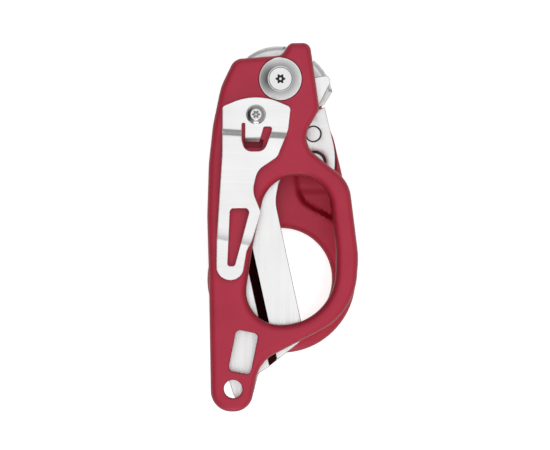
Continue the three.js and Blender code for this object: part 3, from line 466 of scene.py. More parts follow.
def slab(surface, outline, holes, bottom, top, fillet, steps=6, wells=(), bottom_wells=(), spacing=None,
         lift=None, hole_fillets=None, creases=(), finish_at=None, bottom_lift=None, bottom_creases=(),
         shaded_edge_slot=0):
    """A plate with rounded edges and holes.

    wells and bottom_wells are (outline, floor height, lip) recesses in its faces. lift and bottom_lift
    give the height that a face gains at a place, which fades out down the rounded edge.
    """
    raise_top = lift or (lambda x, y: 0.0)
    raise_bottom = bottom_lift or (lambda x, y: 0.0)
    top_rings, bottom_rings = [], []
    fillets = [fillet, *(hole_fillets or [fillet] * len(holes))]
    for index, (loop, radius) in enumerate(zip([outline, *holes], fillets)):
        sign = 1 if index == 0 else -1
        rounding = fillet_steps(radius, steps)
        chain = []
        for amount, drop in reversed(rounding):
            fade = max(0, 1 - 2 * drop / (top - bottom))
            chain.append(surface.ring(
                inset(loop, sign * amount),
                lambda x, y, d=drop, f=fade: bottom + d + raise_bottom(x, y) * f,
            ))
        for amount, drop in rounding:
            fade = max(0, 1 - 2 * drop / (top - bottom))
            chain.append(surface.ring(
                inset(loop, sign * amount),
                lambda x, y, d=drop, f=fade: top - d + raise_top(x, y) * f,
            ))
        # The edge bands take the material in this slot. The blades and liners put dark steel there as
        # painted shade for the gaps around them.
        surface.finish = shaded_edge_slot
        for lower, upper in zip(chain, chain[1:]):
            surface.bridge(lower, upper)
        surface.finish = 0
        bottom_rings.append(chain[0])
        top_rings.append(chain[-1])
    for group, face_height, rings, sign in (
        (wells, top, top_rings, -1), (bottom_wells, bottom, bottom_rings, 1),
    ):
        for loop, floor, lip in group:
            edge = surface.ring(inset(loop, -lip), face_height)
            wall = surface.ring(loop, face_height + sign * lip)
            foot = surface.ring(loop, floor)
            surface.bridge(edge, wall)
            surface.bridge(wall, foot)
            surface.fill([foot])
            rings.append(edge)
    surface.fill(top_rings, spacing, lambda x, y: top + raise_top(x, y), creases, finish_at)
    surface.fill(bottom_rings, spacing, lambda x, y: bottom + raise_bottom(x, y), bottom_creases)


def prism(outline, low, high):
    """A hidden straight-sided solid that other pieces are cut with."""
    surface = Surface()
    foot, crown = surface.ring(outline, low), surface.ring(outline, high)
    surface.bridge(foot, crown)
    surface.fill([foot])
    surface.fill([crown])
    mesh = surface.mesh("cutter")
    fix_normals(mesh)
    return mesh


def carve(piece, meshes):
    """Cuts the given solids out of a piece and keeps the result as its mesh."""
    tools = []
    for mesh in meshes:
        tool = bpy.data.objects.new("cutter", mesh)
        bpy.context.scene.collection.objects.link(tool)
        tools.append(tool)
        cut = piece.modifiers.new("cut", "BOOLEAN")
        cut.operation = "DIFFERENCE"
        cut.solver = "EXACT"
        cut.object = tool
    graph = bpy.context.evaluated_depsgraph_get()
    result = bpy.data.meshes.new_from_object(piece.evaluated_get(graph))
    piece.modifiers.clear()
    piece.data = result
    for tool in tools:
        bpy.data.objects.remove(tool)
    shade_smooth(result, CREASE_ANGLE)


def turned(surface, centre, profile, count=72):
    """A turned surface from (radius, height) points. A radius of 0 closes it."""
    rings = []
    for radius, height in profile:
        if radius == 0:
            rings.append([len(surface.points)])
            surface.points.append((centre[0], centre[1], height))
        else:
            rings.append(surface.ring(circle(centre, radius, count), height))
    for lower, upper in zip(rings, rings[1:]):
        if len(lower) == 1 or len(upper) == 1:
            tip, rim = (lower, upper) if len(lower) == 1 else (upper, lower)
            for k, a in enumerate(rim):
                surface.face((a, rim[(k + 1) % len(rim)], tip[0]))
        else:
            surface.bridge(lower, upper)
    return rings


def smooth_step(value, low, high):
    """0 below the low value, 1 above the high one and an even curve between."""
    t = min(1.0, max(0.0, (value - low) / (high - low)))
    return t * t * (3 - 2 * t)


# ---------------------------------------------------------------- materials

def new_material(name, colour, metallic, roughness):
    """A new material with its nodes, its links and its Principled shader."""
    material = bpy.data.materials.new(name)
    material.use_nodes = True
    nodes, links = material.node_tree.nodes, material.node_tree.links
    shader = nodes["Principled BSDF"]
    shader.inputs["Base Color"].default_value = (*colour, 1)
    shader.inputs["Metallic"].default_value = metallic
    shader.inputs["Roughness"].default_value = roughness
    return material, nodes, links, shader


def noise(nodes, links, scale, stretch=(1, 1, 1), detail=3.0, turn=0.0):
    """Noise in object space, whose features are stretched along the turned Y axis."""
    place = nodes.new("ShaderNodeTexCoord")
    mapping = nodes.new("ShaderNodeMapping")
    mapping.inputs["Scale"].default_value = stretch
    mapping.inputs["Rotation"].default_value = (0, 0, math.radians(turn))
    texture = nodes.new("ShaderNodeTexNoise")
    texture.inputs["Scale"].default_value = scale
    texture.inputs["Detail"].default_value = detail
    links.new(place.outputs["Object"], mapping.inputs["Vector"])
    links.new(mapping.outputs["Vector"], texture.inputs["Vector"])
    return texture.outputs["Fac"]


def mapped(nodes, links, source, from_low, from_high, low=0.0, high=1.0):
    """Maps one range of a value to another."""
    spread = nodes.new("ShaderNodeMapRange")
    spread.inputs["From Min"].default_value = from_low
    spread.inputs["From Max"].default_value = from_high
    spread.inputs["To Min"].default_value = low
    spread.inputs["To Max"].default_value = high
    links.new(source, spread.inputs["Value"])
    return spread.outputs["Result"]


def ramp(nodes, links, source, low, high):
    """Maps the middle of a noise value's span to a range."""
    return mapped(nodes, links, source, 0.3, 0.7, low, high)


def tinted(nodes, links, source, dark, light):
    """Mixes two colours by a value."""
    mix = nodes.new("ShaderNodeMix")
    mix.data_type = "RGBA"
    mix.inputs["A"].default_value = (*dark, 1)
    mix.inputs["B"].default_value = (*light, 1)
    links.new(source, mix.inputs["Factor"])
    return mix.outputs["Result"]


def bump(nodes, links, shader, source, strength, distance):
    """Raises the surface a little by a value. The distance is in metres."""
    node = nodes.new("ShaderNodeBump")
    node.inputs["Strength"].default_value = strength
    node.inputs["Distance"].default_value = distance
    links.new(source, node.inputs["Height"])
    links.new(node.outputs["Normal"], shader.inputs["Normal"])


def flatness(nodes, links):
    """1 on faces that look straight up or down and 0 on the sides, by the object's own normals. The nylon
    uses it to paint shade on its sides.
    """
    place = nodes.new("ShaderNodeTexCoord")
    split = nodes.new("ShaderNodeSeparateXYZ")
    upright = nodes.new("ShaderNodeMath")
    upright.operation = "ABSOLUTE"
    links.new(place.outputs["Normal"], split.inputs["Vector"])
    links.new(split.outputs["Z"], upright.inputs[0])
    return mapped(nodes, links, upright.outputs["Value"], 0.50, 0.97)


def nylon_material():
    """Glass-filled nylon with the fine grain of its mould, and painted shade: a darker red on its rounded
    edges and sides, where less light falls, than on its flat faces.
    """
    material, nodes, links, shader = new_material("nylon_red", (0.46, 0.019, 0.052), 0.0, 0.45)
    shader.inputs["Specular IOR Level"].default_value = 0.35
    cloud = ramp(nodes, links, noise(nodes, links, 90, detail=4), 0.0, 1.0)
    broad = tinted(nodes, links, cloud, (0.57, 0.026, 0.068), (0.615, 0.031, 0.076))
    # Painted shade: the rounded edges and sides get this darker copy of the red, and the flat faces get the
    # lighter one above.
    edges = tinted(nodes, links, cloud, (0.28, 0.0045, 0.0135), (0.31, 0.0060, 0.0165))
    mix = nodes.new("ShaderNodeMix")
    mix.data_type = "RGBA"
    links.new(flatness(nodes, links), mix.inputs["Factor"])
    links.new(edges, mix.inputs["A"])
    links.new(broad, mix.inputs["B"])
    links.new(mix.outputs["Result"], shader.inputs["Base Color"])
    speckle = noise(nodes, links, 2600, detail=2)
    links.new(ramp(nodes, links, speckle, 0.40, 0.52), shader.inputs["Roughness"])
    bump(nodes, links, shader, speckle, 0.22, 0.00005)
    return material


def steel_material(name, tone, roughness, scale=(900, 26, 900), turn=0.0, depth=0.12, spread=0.05):
    """Steel with grinding marks that run along one direction."""
    material, nodes, links, shader = new_material(name, (tone, tone, tone), 1.0, roughness)
    marks = noise(nodes, links, 1.0, stretch=scale, detail=3, turn=turn)
    cloud = ramp(nodes, links, noise(nodes, links, 60, detail=2), 0.0, 1.0)
    colour = tinted(nodes, links, cloud, (tone * 0.95,) * 3, (tone * 1.03,) * 3)
    links.new(colour, shader.inputs["Base Color"])
    links.new(ramp(nodes, links, marks, roughness - spread, roughness + spread), shader.inputs["Roughness"])
    bump(nodes, links, shader, marks, depth, 0.00003)
    return material


def brass_material():
    """Turned brass with a slight variation of colour and roughness."""
    material, nodes, links, shader = new_material("insert_brass", (0.62, 0.45, 0.2), 1.0, 0.35)
    cloud = ramp(nodes, links, noise(nodes, links, 70), 0.0, 1.0)
    colour = tinted(nodes, links, cloud, (0.56, 0.40, 0.17), (0.66, 0.48, 0.22))
    links.new(colour, shader.inputs["Base Color"])
    grain = noise(nodes, links, 900)
    links.new(ramp(nodes, links, grain, 0.30, 0.42), shader.inputs["Roughness"])
    bump(nodes, links, shader, grain, 0.1, 0.00003)
    return material


NYLON = nylon_material()
EVEN_GRAIN = (700, 700, 700)
FINE_GRAIN = (500, 500, 500)
BLADE_STEEL = steel_material("blade_satin_steel", 0.83, 0.27, turn=-12, depth=0.10)
# Painted reflection: near-black steel on the front blade's grind. It stands in for the dark surroundings
# that the grind's slope reflects.
GRIND_PAINTED_DARK = steel_material(
    "blade_grind_painted_dark", 0.07, 0.12, scale=(40, 900, 900), turn=-12, depth=0.05, spread=0.03,
)
PLATE_STEEL = steel_material("liner_blasted_steel", 0.80, 0.33, scale=EVEN_GRAIN, depth=0.16)
CLIP_STEEL = steel_material("clip_satin_steel", 0.83, 0.26, scale=(26, 900, 900), depth=0.10)
HINGE_STEEL = steel_material("hinge_turned_steel", 0.74, 0.22, scale=FINE_GRAIN, depth=0.05)
LEVER_STEEL = steel_material("lever_knurled_steel", 0.70, 0.34, scale=EVEN_GRAIN, depth=0.2)
# Dark steel for the CAD's dark steel parts. The same material is painted shade on the side edges of the
# blades and liners and in the clip screw's socket.
DARK_STEEL_AND_EDGE_SHADE = steel_material("dark_steel_and_painted_edge_shade", 0.30, 0.38, scale=FINE_GRAIN, depth=0.15)
# Painted shade: near-black steel in the hinge screw sockets and in the rings around flush heads, where the
# recesses and gaps lie in shade.
BLACK_PAINTED_SHADE = steel_material("steel_black_painted_shade", 0.05, 0.45, scale=FINE_GRAIN, depth=0.1)
BRASS = brass_material()


# ---------------------------------------------------------------- handles

DIMPLE_RADIUS = 1.1
DIMPLE_DEPTH = 0.12
TONGUE_WELL = rounded([(-13.3, 30.2, 0.5), (-6.6, 30.2, 0.5), (-7.0, 27.4, 0.5), (-12.9, 27.4, 0.5)])
TONGUE_WELL_DEPTH = 3.6
TONGUE_WELL_LIP = 0.15
WASHER_WELL_DEPTH = 1.5
FRONT_WELL_RADIUS = WASHER_RADIUS + 0.2
REAR_WELL_RADIUS = WASHER_RADIUS + 0.25

# The rear handle's recess lies between its ridge, its right wall and these lines across the neck.
RIDGE = [
    (3.0, 22.0), (3.8, 15.7), (4.5, 11.6), (6.3, 8.1), (8.1, 6.9), (10.7, 5.3), (14.2, 3.6), (19.0, 0.4),
]
NECK_WALL = [(13.4, 33.0), (18.2, 17.5), (19.6, 0.0)]
POCKET_TOP = 26
POCKET_FOOT = -3
POCKET_STEP = 14.5
POCKET_DEPTH = 1.9
POCKET_DEEPENS = 1.8
POCKET_WALL = 2.2

CUTTER_SLOT_REACH = 19.6
CUTTER_SLOT_FLOOR = 1.6
CUTTER_SLOT_ROOF = 4.0
LINER_SIDE = [(15.2, 41.0), (16.2, 36.6), (17.3, 32.0), (18.1, 28.0), (18.5, 24.0), (18.55, 20.0)]
LINER_GROOVE_HALF = 0.28
LINER_GROOVE_DEPTH = 2.2


def front_handle():
    """Finger loop handle with its slot, lanyard hole, washer recess and tongue well."""
    bottom, top = heights("front_handle")

    def lift(x, y):
        away = math.hypot(x - FRONT_LOCK[0], y - FRONT_LOCK[1])
        return -DIMPLE_DEPTH * (1 - smooth_step(away, 0.35 * DIMPLE_RADIUS, DIMPLE_RADIUS))

    surface = Surface()
    slab(
        surface, FRONT_HANDLE, [FINGER_HOLE, wrench_slot(), circle(LANYARD_HOLE, LANYARD_RADIUS)],
        bottom, top, HANDLE_FILLET, steps=9, hole_fillets=[HANDLE_FILLET + 0.2, 0.45, 0.5],
        wells=[(TONGUE_WELL, top - TONGUE_WELL_DEPTH, TONGUE_WELL_LIP)], spacing=1.1, lift=lift,
    )
    piece = surface.build("front_handle_shell", [NYLON], "front_handle_body", ["front_handle"])
    recess = circle(FRONT_HINGE, FRONT_WELL_RADIUS, 96)
    carve(piece, [prism(recess, top - WASHER_WELL_DEPTH, top + 2)])


def beside(line, x, y):
    """Distance of a point from a line of points, positive on its right-hand side."""
    best = math.inf
    for (x0, y0), (x1, y1) in zip(line, line[1:]):
        ax, ay = x1 - x0, y1 - y0
        t = min(1.0, max(0.0, ((x - x0) * ax + (y - y0) * ay) / (ax * ax + ay * ay)))
        gap = math.hypot(x - x0 - ax * t, y - y0 - ay * t)
        if gap < abs(best):
            best = math.copysign(gap, ay * (x - x0) - ax * (y - y0))
    return best


def band(line, half_width):
    """The outline of a narrow band along a line of points."""
    left, right = [], []
    for k, (x, y) in enumerate(line):
        before, after = line[max(0, k - 1)], line[min(len(line) - 1, k + 1)]
        along = Vector((after[0] - before[0], after[1] - before[1])).normalized()
        left.append((x - along.y * half_width, y + along.x * half_width))
        right.append((x + along.y * half_width, y - along.x * half_width))
    return counterclockwise(left + right[::-1])


def cutter_slot():
    """The outline that the ring cutter sweeps inside the rear handle's neck."""
    x, y = CUTTER_PIVOT
    reach, radius = CUTTER_SLOT_REACH, CUTTER_SLOT_REACH * 0.95
    return rounded([
        (x - reach, y - 6, 3), (x - reach, y + reach, radius), (x + reach, y + reach, radius),
        (x + reach, y - 9, 3), (x, y - 7, 3),
    ])


def rear_handle():
    """Thumb ring handle with its recess, washer well, cutter slot and liner groove."""
    bottom, top = heights("rear_handle")

    def lift(x, y):
        if y > POCKET_TOP or y < POCKET_FOOT or x < 0:
            return 0.0
        past_ridge = smooth_step(-beside(RIDGE, x, y), 0.0, POCKET_WALL)
        inside_wall = smooth_step(beside(NECK_WALL, x, y), 0.0, POCKET_WALL)
        depth = POCKET_DEPTH + POCKET_DEEPENS * smooth_step(POCKET_STEP - y, 0, 4)
        return -depth * past_ridge * inside_wall * smooth_step(POCKET_TOP - y, 0, 2)

    surface = Surface()
    well = circle(REAR_HINGE, REAR_WELL_RADIUS, 96)
    slab(
        surface, REAR_HANDLE, [circle(THUMB_RING, THUMB_RING_INNER, 120)],
        bottom, top, HANDLE_FILLET, steps=9, spacing=1.0, lift=lift,
        bottom_wells=[(well, bottom + WASHER_WELL_DEPTH, 0.25)],
    )
    piece = surface.build("rear_handle_shell", [NYLON], "rear_handle_body", ["rear_handle"])
    carve(piece, [
        prism(cutter_slot(), CUTTER_SLOT_FLOOR, CUTTER_SLOT_ROOF),
        prism(band(LINER_SIDE, LINER_GROOVE_HALF), top - LINER_GROOVE_DEPTH, top + 1),
    ])


# ---------------------------------------------------------------- blades

# Each grind slopes from a line beside the cutting edge and fades out at the ricasso, at y = GRIND_TOP.
GRIND_WIDTH = 3.2
GRIND_DEPTH = 1.7
GRIND_TOP = 8.0
GRIND_FADE = 3
# Below this height the front blade's grind takes the near-black steel, a painted dark reflection.
GRIND_SHADE_TOP = 6.5
FRONT_EDGE = ((-16.9, GRIND_TOP), (-4.1, -50.0))
REAR_EDGE = ((-4.3, -50.0), (-7.3, GRIND_TOP))
BLADE_ROUNDING = 0.18


def from_edge(edge, x, y):
    """Distance inward from a cutting edge, with the blade on the left of its direction."""
    (x0, y0), (x1, y1) = edge
    length = math.hypot(x1 - x0, y1 - y0)
    return ((x1 - x0) * (y - y0) - (y1 - y0) * (x - x0)) / length


def grind_drop(edge, x, y):
    """How far the grind lies below the blade's flat."""
    inward = from_edge(edge, x, y)
    if y > GRIND_TOP or inward > GRIND_WIDTH:
        return 0.0
    fade = smooth_step(GRIND_TOP - y, 0, GRIND_FADE)
    return GRIND_DEPTH * fade * (1 - max(0.0, inward) / GRIND_WIDTH)


def grind_line(edge, first, last):
    """Points along the line where the grind starts, from one share of its length to another."""
    (x0, y0), (x1, y1) = edge
    length = math.hypot(x1 - x0, y1 - y0)
    nx, ny = -(y1 - y0) / length * GRIND_WIDTH, (x1 - x0) / length * GRIND_WIDTH
    return [
        (x0 + nx + (x1 - x0) * t, y0 + ny + (y1 - y0) * t)
        for t in np.linspace(first, last, 24).tolist()
    ]


def front_blade():
    bottom, top = heights("front_blade")

    # Painted reflection: the front grind below its top line takes the near-black steel in slot 1.
    def grind_shade_slot(x, y):
        return 1 if y < GRIND_SHADE_TOP and from_edge(FRONT_EDGE, x, y) < GRIND_WIDTH else 0

    surface = Surface()
    holes = [
        circle(FRONT_HINGE, BARREL_HOLE_RADIUS), circle(BLADE_PIVOT, FLANGE_HOLE_RADIUS),
        pin_track(FRONT_HINGE, -40, 125),
    ]
    # The blade's side edges take the dark steel, painted shade for the gaps beside it.
    slab(
        surface, FRONT_BLADE, holes, bottom, top, BLADE_ROUNDING, steps=2, spacing=2.2,
        lift=lambda x, y: -grind_drop(FRONT_EDGE, x, y), hole_fillets=[0.1, 0.1, 0.1],
        creases=[grind_line(FRONT_EDGE, 0.0, 0.93)], finish_at=grind_shade_slot, shaded_edge_slot=2,
    )
    surface.build(
        "front_blade_ground", [BLADE_STEEL, GRIND_PAINTED_DARK, DARK_STEEL_AND_EDGE_SHADE], "front_blade_body", ["front_blade"],
        sharp=20,
    )


def rear_blade():
    bottom, top = heights("rear_blade")
    surface = Surface()
    holes = [
        circle(REAR_HINGE, BARREL_HOLE_RADIUS), circle(BLADE_PIVOT, FLANGE_HOLE_RADIUS),
        pin_track(REAR_HINGE, 50, 195),
    ]
    # The blade's side edges take the dark steel, painted shade for the gaps beside it.
    slab(
        surface, REAR_BLADE, holes, bottom, top, BLADE_ROUNDING, steps=2, spacing=2.2,
        bottom_lift=lambda x, y: grind_drop(REAR_EDGE, x, y), hole_fillets=[0.1, 0.1, 0.1],
        bottom_creases=[grind_line(REAR_EDGE, 0.06, 1.0)], shaded_edge_slot=1,
    )
    surface.build(
        "rear_blade_ground", [BLADE_STEEL, DARK_STEEL_AND_EDGE_SHADE], "rear_blade_body", ["rear_blade"],
        sharp=20,
    )


# ---------------------------------------------------------------- liners, rivets and levers

REAR_RIVETS = [(10.7, 32.4), (-11.5, 39.5)]
FRONT_RIVETS = [(3.5, 36.0), (-17.0, 33.5)]


def liner(name, node, outline, holes, body):
    bottom, top = heights(node)
    surface = Surface()
    # The liner's side edges take the dark steel, painted shade for the gap around the plate.
    slab(surface, outline, holes, bottom, top, 0.15, steps=2, spacing=2.5, shaded_edge_slot=1)
    surface.build(name, [PLATE_STEEL, DARK_STEEL_AND_EDGE_SHADE], body, [node])


def liners():
    holes = [circle(REAR_HINGE, BARREL_HOLE_RADIUS), circle(CUTTER_PIVOT, 4.1)]
    holes += [circle(place, 2.8) for place in REAR_RIVETS]
    liner("rear_liner_plate", "rear_liner", REAR_LINER, holes, "rear_handle_body")
    holes = [circle(FRONT_HINGE, BARREL_HOLE_RADIUS)]
    holes += [circle(place, 1.6) for place in FRONT_RIVETS]
    liner("front_liner_plate", "front_liner", FRONT_LINER, holes, "front_handle_body")


def flush_disc(name, node, centre, radius, seat_radius):
    """A flush rivet head that stands in a seating ring painted black as the shade of the gap around it."""
    bottom, top = heights(node)
    gap, chamfer, head = 0.02, 0.16, 1.1
    ring_top, ring_foot = top - 0.75, top - 0.75 - 0.3
    shank = radius * 0.55
    surface = Surface()
    # The seating ring takes slot 1, painted black as the shade of the gap around the head.
    surface.finish = 1
    rings = turned(surface, centre, [
        (radius + gap, ring_foot), (seat_radius, ring_foot), (seat_radius, ring_top),
        (radius + gap, ring_top),
    ])
    surface.bridge(rings[-1], rings[0])
    surface.finish = 0
    turned(surface, centre, [
        (0, bottom), (shank, bottom), (shank, top - head), (radius, top - head),
        (radius, top - chamfer), (radius - chamfer, top), (radius * 0.5, top + 0.015), (0, top + 0.02),
    ])
    surface.build(name, [PLATE_STEEL, BLACK_PAINTED_SHADE], "rear_handle_body", [node], sharp=30)


def polar_on_pad(x, y):
    """Distance and angle in degrees from the middle of the thumb pads' arc."""
    across, up = x - PAD_RIM[0], y - PAD_RIM[1]
    return math.hypot(across, up), math.degrees(math.atan2(up, across))


def jimped_lever(name, node, corners, pivot, first, last, body):
    """A lock lever whose rim slopes down and is notched along the thumb pad."""
    bottom, top = heights(node)
    pitch, notch_depth, notch_zone = 2.6, 0.30, 0.6
    slope_width, slope_drop, tooth_height = 1.9, 0.525, 0.25
    notched = []
    for x, y in divided(rounded(corners), longest=0.35):
        reach, angle = polar_on_pad(x, y)
        on_pad = reach > PAD_RIM_RADIUS - notch_zone and first < angle < last
        cut = notch_depth * abs(math.sin(math.pi * angle / pitch)) if on_pad else 0.0
        shrink = (reach - cut) / reach
        notched.append((PAD_RIM[0] + (x - PAD_RIM[0]) * shrink, PAD_RIM[1] + (y - PAD_RIM[1]) * shrink))

    def lift(x, y):
        reach, angle = polar_on_pad(x, y)
        fade = smooth_step(angle, first - 1, first + 1) * smooth_step(last + 1 - angle, 0, 2)
        down = smooth_step(reach, PAD_RIM_RADIUS - slope_width, PAD_RIM_RADIUS)
        tooth = 0.5 + 0.5 * math.cos(2 * math.pi * angle / pitch)
        return -fade * down * (slope_drop + tooth_height * tooth)

    surface = Surface()
    slab(surface, notched, [circle(pivot, 1.4, 32)], bottom, top, 0.08, steps=1, spacing=0.42, lift=lift)
    surface.build(name, [LEVER_STEEL], body, [node], sharp=50)


# ---------------------------------------------------------------- hinge hardware

SCREW_HEAD_CHAMFER = 0.2
SHANK_RADIUS = 1.5
SOCKET_RADIUS = 1.75
FRONT_SOCKET_DEPTH = 1.1
REAR_SOCKET_DEPTH = 0.8
CONE_RIM_SHARE = 0.34
CLIP_SOCKET_RADIUS = 1.45
CLIP_HEAD_FLAT = 1.85
CLIP_SHANK_RADIUS = 1.25


def socket_head(surface, centre, radius, face, socket_radius, depth, pin_radius=0.42, sign=1):
    """The flat end of a screw: a six-lobed socket with a centre pin. sign is -1 on the back."""
    lip_height, pin_drop = 0.1, 0.2
    narrow = lobed(centre, socket_radius * 0.95)
    floor_height, pin_height = face - sign * depth, face - sign * pin_drop
    rim = surface.ring(circle(centre, radius), face)
    mouth = surface.ring(lobed(centre, socket_radius), face)
    lip = surface.ring(narrow, face - sign * lip_height)
    floor = surface.ring(narrow, floor_height)
    pin_foot = surface.ring(circle(centre, pin_radius, 24), floor_height)
    pin_top = surface.ring(circle(centre, pin_radius, 24), pin_height)
    surface.fill([rim, mouth])
    surface.bridge(mouth, lip)
    # The socket's walls and floor take slot 1, a dark steel that paints the shade inside the recess.
    surface.finish = 1
    surface.bridge(lip, floor)
    surface.fill([floor, pin_foot])
    surface.finish = 0
    surface.bridge(pin_foot, pin_top)
    surface.fill([pin_top])


def hinge_hardware(end, hinge, sign, socket_depth):
    """The conical washer and the screw of one hinge. sign is -1 on the back."""
    low, high = heights(f"{end}_hinge_washer")
    seat, crown = (low, high) if sign > 0 else (high, low)
    rim = seat + (crown - seat) * CONE_RIM_SHARE
    bore = SCREW_HEAD_RADIUS + 0.1
    surface = Surface()
    rings = turned(surface, hinge, [
        (bore, seat), (WASHER_RADIUS, seat), (WASHER_RADIUS, rim - sign * 0.1),
        (WASHER_RADIUS - 0.12, rim + sign * 0.03), (WASHER_RADIUS - 0.5, rim + sign * 0.1),
        (bore + 0.25, crown - sign * 0.03), (bore, crown - sign * 0.1),
    ], 96)
    surface.bridge(rings[-1], rings[0])
    body = f"{end}_handle_body"
    surface.build(
        f"{end}_hinge_cone", [HINGE_STEEL], body, [f"{end}_hinge_washer"], sharp=30,
    )
    low, high = heights(f"{end}_hinge_screw")
    tip, face = (low, high) if sign > 0 else (high, low)
    face = face - sign * 0.02
    flat = SCREW_HEAD_RADIUS - SCREW_HEAD_CHAMFER
    surface = Surface()
    turned(surface, hinge, [
        (0, tip), (SHANK_RADIUS, tip), (SHANK_RADIUS, seat), (SCREW_HEAD_RADIUS, seat),
        (SCREW_HEAD_RADIUS, face - sign * SCREW_HEAD_CHAMFER), (flat, face),
    ])
    socket_head(surface, hinge, flat, face, SOCKET_RADIUS, socket_depth, sign=sign)
    surface.build(
        f"{end}_hinge_bolt", [HINGE_STEEL, BLACK_PAINTED_SHADE], body, [f"{end}_hinge_screw"],
        sharp=30,
    )


def clip_screw():
    """A button head screw that holds the clip."""
    bottom, top = heights("clip_screw")
    seat = heights("pocket_clip")[0] + CLIP_THICKNESS + 0.05
    surface = Surface()
    turned(surface, CLIP_SCREW, [
        (0, bottom), (CLIP_SHANK_RADIUS, bottom), (CLIP_SHANK_RADIUS, seat), (3.25, seat),
        (3.4, seat + 0.12), (3.38, seat + 0.35), (3.1, seat + 0.75), (2.6, seat + 1.15),
        (2.0, seat + 1.42), (CLIP_HEAD_FLAT, top),
    ])
    socket_head(surface, CLIP_SCREW, CLIP_HEAD_FLAT, top, CLIP_SOCKET_RADIUS, 1.0, pin_radius=0.3)
    # The socket inside takes the dark steel, painted shade in the recess.
    surface.build(
        "clip_button_screw", [HINGE_STEEL, DARK_STEEL_AND_EDGE_SHADE], "front_handle_body", ["clip_screw"],
        sharp=30,
    )


# ---------------------------------------------------------------- pocket clip

CLIP_GAP = 0.1
CLIP_POINT_SPACING = 0.8
TONGUE_DROP = 1.1
TONGUE_BEND = 31.2
STEP_TOP = 33.6
STEP_LENGTH = 3.0
STEP_LEAN = 0.06
RAMP_TOP = 2.2
RAMP_LENGTH = 7.7
RAMP_SHARE = 0.95
CREASE_LEAN = 0.2
FLARE_SLOPE = 0.11
FLARE_KICK = 0.12


def in_tongue(x, y):
    return -12.95 < x < min(-6.2, -7.2 + (y - 29.4) * 0.30) and 28.9 < y < 36.5


def clip_rise(x, y):
    """Height of the clip's underside over the handle: tab, step, arm, ramp and upturned tip."""
    if in_tongue(x, y):
        return -TONGUE_DROP * smooth_step(TONGUE_BEND - y, 0.0, 1.8)
    step_line = y + STEP_LEAN * (x + 9)
    crease_line = y + CREASE_LEAN * (x + 17)
    step = CLIP_RAISE * smooth_step(STEP_TOP - step_line, 0.0, STEP_LENGTH)
    along_ramp = min(1.0, max(0.0, (RAMP_TOP - crease_line) / RAMP_LENGTH))
    past_crease = max(0.0, RAMP_TOP - RAMP_LENGTH - crease_line)
    flare = FLARE_SLOPE * past_crease + FLARE_KICK * (1 - math.exp(-past_crease / 0.9))
    return step * (1 - RAMP_SHARE * along_ramp ** 2) + flare


def pocket_clip():
    base = heights("front_handle")[1] + CLIP_GAP
    outline = divided(CLIP, CLIP_POINT_SPACING)
    slot = divided(CLIP_SLOT, CLIP_POINT_SPACING)
    step_cut = divided(CLIP_STEP_CUT, CLIP_POINT_SPACING)
    surface = Surface()
    slab(
        surface, outline, [slot, step_cut, circle(CLIP_SCREW, 1.6, 36)],
        base, base + CLIP_THICKNESS, 0.2, steps=3, spacing=0.6,
    )
    surface.points = [(x, y, z + clip_rise(x, y)) for x, y, z in surface.points]
    surface.build(
        "pocket_clip_spring", [CLIP_STEEL], "front_handle_body", ["pocket_clip"], sharp=32,
    )


# ---------------------------------------------------------------- ring cutter

CUTTER_TURN = 140
CUTTER_BORE_RADIUS = 2.3


def ring_cutter():
    bottom, top = heights("ring_cutter")
    outline = turned_about(CUTTER_PIVOT, CUTTER_TURN, CUTTER)
    bore = turned_about(CUTTER_PIVOT, CUTTER_TURN, circle((0, 0), CUTTER_BORE_RADIUS))
    surface = Surface()
    slab(surface, outline, [bore], bottom, top, 0.2, steps=2, spacing=2)
    surface.build("ring_cutter_hook", [BLADE_STEEL], "ring_cutter_body", ["ring_cutter"])


front_handle()
rear_handle()
front_blade()
rear_blade()
liners()
flush_disc("rear_rivet_neck", "rear_liner_rivet_1", REAR_RIVETS[0], 2.5, 2.75)
flush_disc("rear_rivet_head", "rear_liner_rivet_2", REAR_RIVETS[1], 2.5, 2.75)
flush_disc("ring_cutter_pin", "ring_cutter_pivot", CUTTER_PIVOT, 3.3, 4.05)
jimped_lever(
    "front_thumb_lever", "front_lock_lever", FRONT_LEVER, FRONT_LOCK, 84, 126, "front_lock_body",
)
jimped_lever("rear_thumb_lever", "rear_lock_lever", REAR_LEVER, REAR_LOCK, 11, 49, "rear_lock_body")
hinge_hardware("front", FRONT_HINGE, 1, FRONT_SOCKET_DEPTH)
hinge_hardware("rear", REAR_HINGE, -1, REAR_SOCKET_DEPTH)
clip_screw()
pocket_clip()
ring_cutter()

# The CAD nodes that are still shown get the same materials by their slots.
FINISHES = {
    "dark_steel": DARK_STEEL_AND_EDGE_SHADE, "plate_steel": PLATE_STEEL, "insert_brass": BRASS, "hinge_steel": HINGE_STEEL,
    "blade_steel": BLADE_STEEL, "clip_steel": CLIP_STEEL, "lever_steel": LEVER_STEEL, "nylon": NYLON,
}
for subpart in frame["record"]["subparts"]:
    node = frame["nodes"][subpart["node"]]
    for place in node.material_slots:
        place.material = FINISHES[subpart["material_slot"]]

# ---------------------------------------------------------------- stage, light and camera

FLOOR_REACH = 1500
FLOOR_HEIGHT = -0.05
FLOOR_GLOW = 0.66
DOME_STRENGTH = 1.09
DOME_STOPS = [
    (0.0, 0.28), (0.25, 0.29), (0.52, 0.31), (0.63, 0.38),
    (0.73, 0.68), (0.84, 0.94), (0.91, 1.0), (1.0, 1.0),
]
DARK_SIDE = (-0.85, -0.25, 0.06, 1.0)
SOFTBOX_PLACE = (0.0, -1.30, 0.38)
SOFTBOX_TARGET = (0, 0, 0.01)
SOFTBOX_SIZE = (0.7, 0.25)
SOFTBOX_POWER = 4
VIEW_WIDTH = 0.1892
VIEW_CENTRE = (-0.00257, 0.00081)


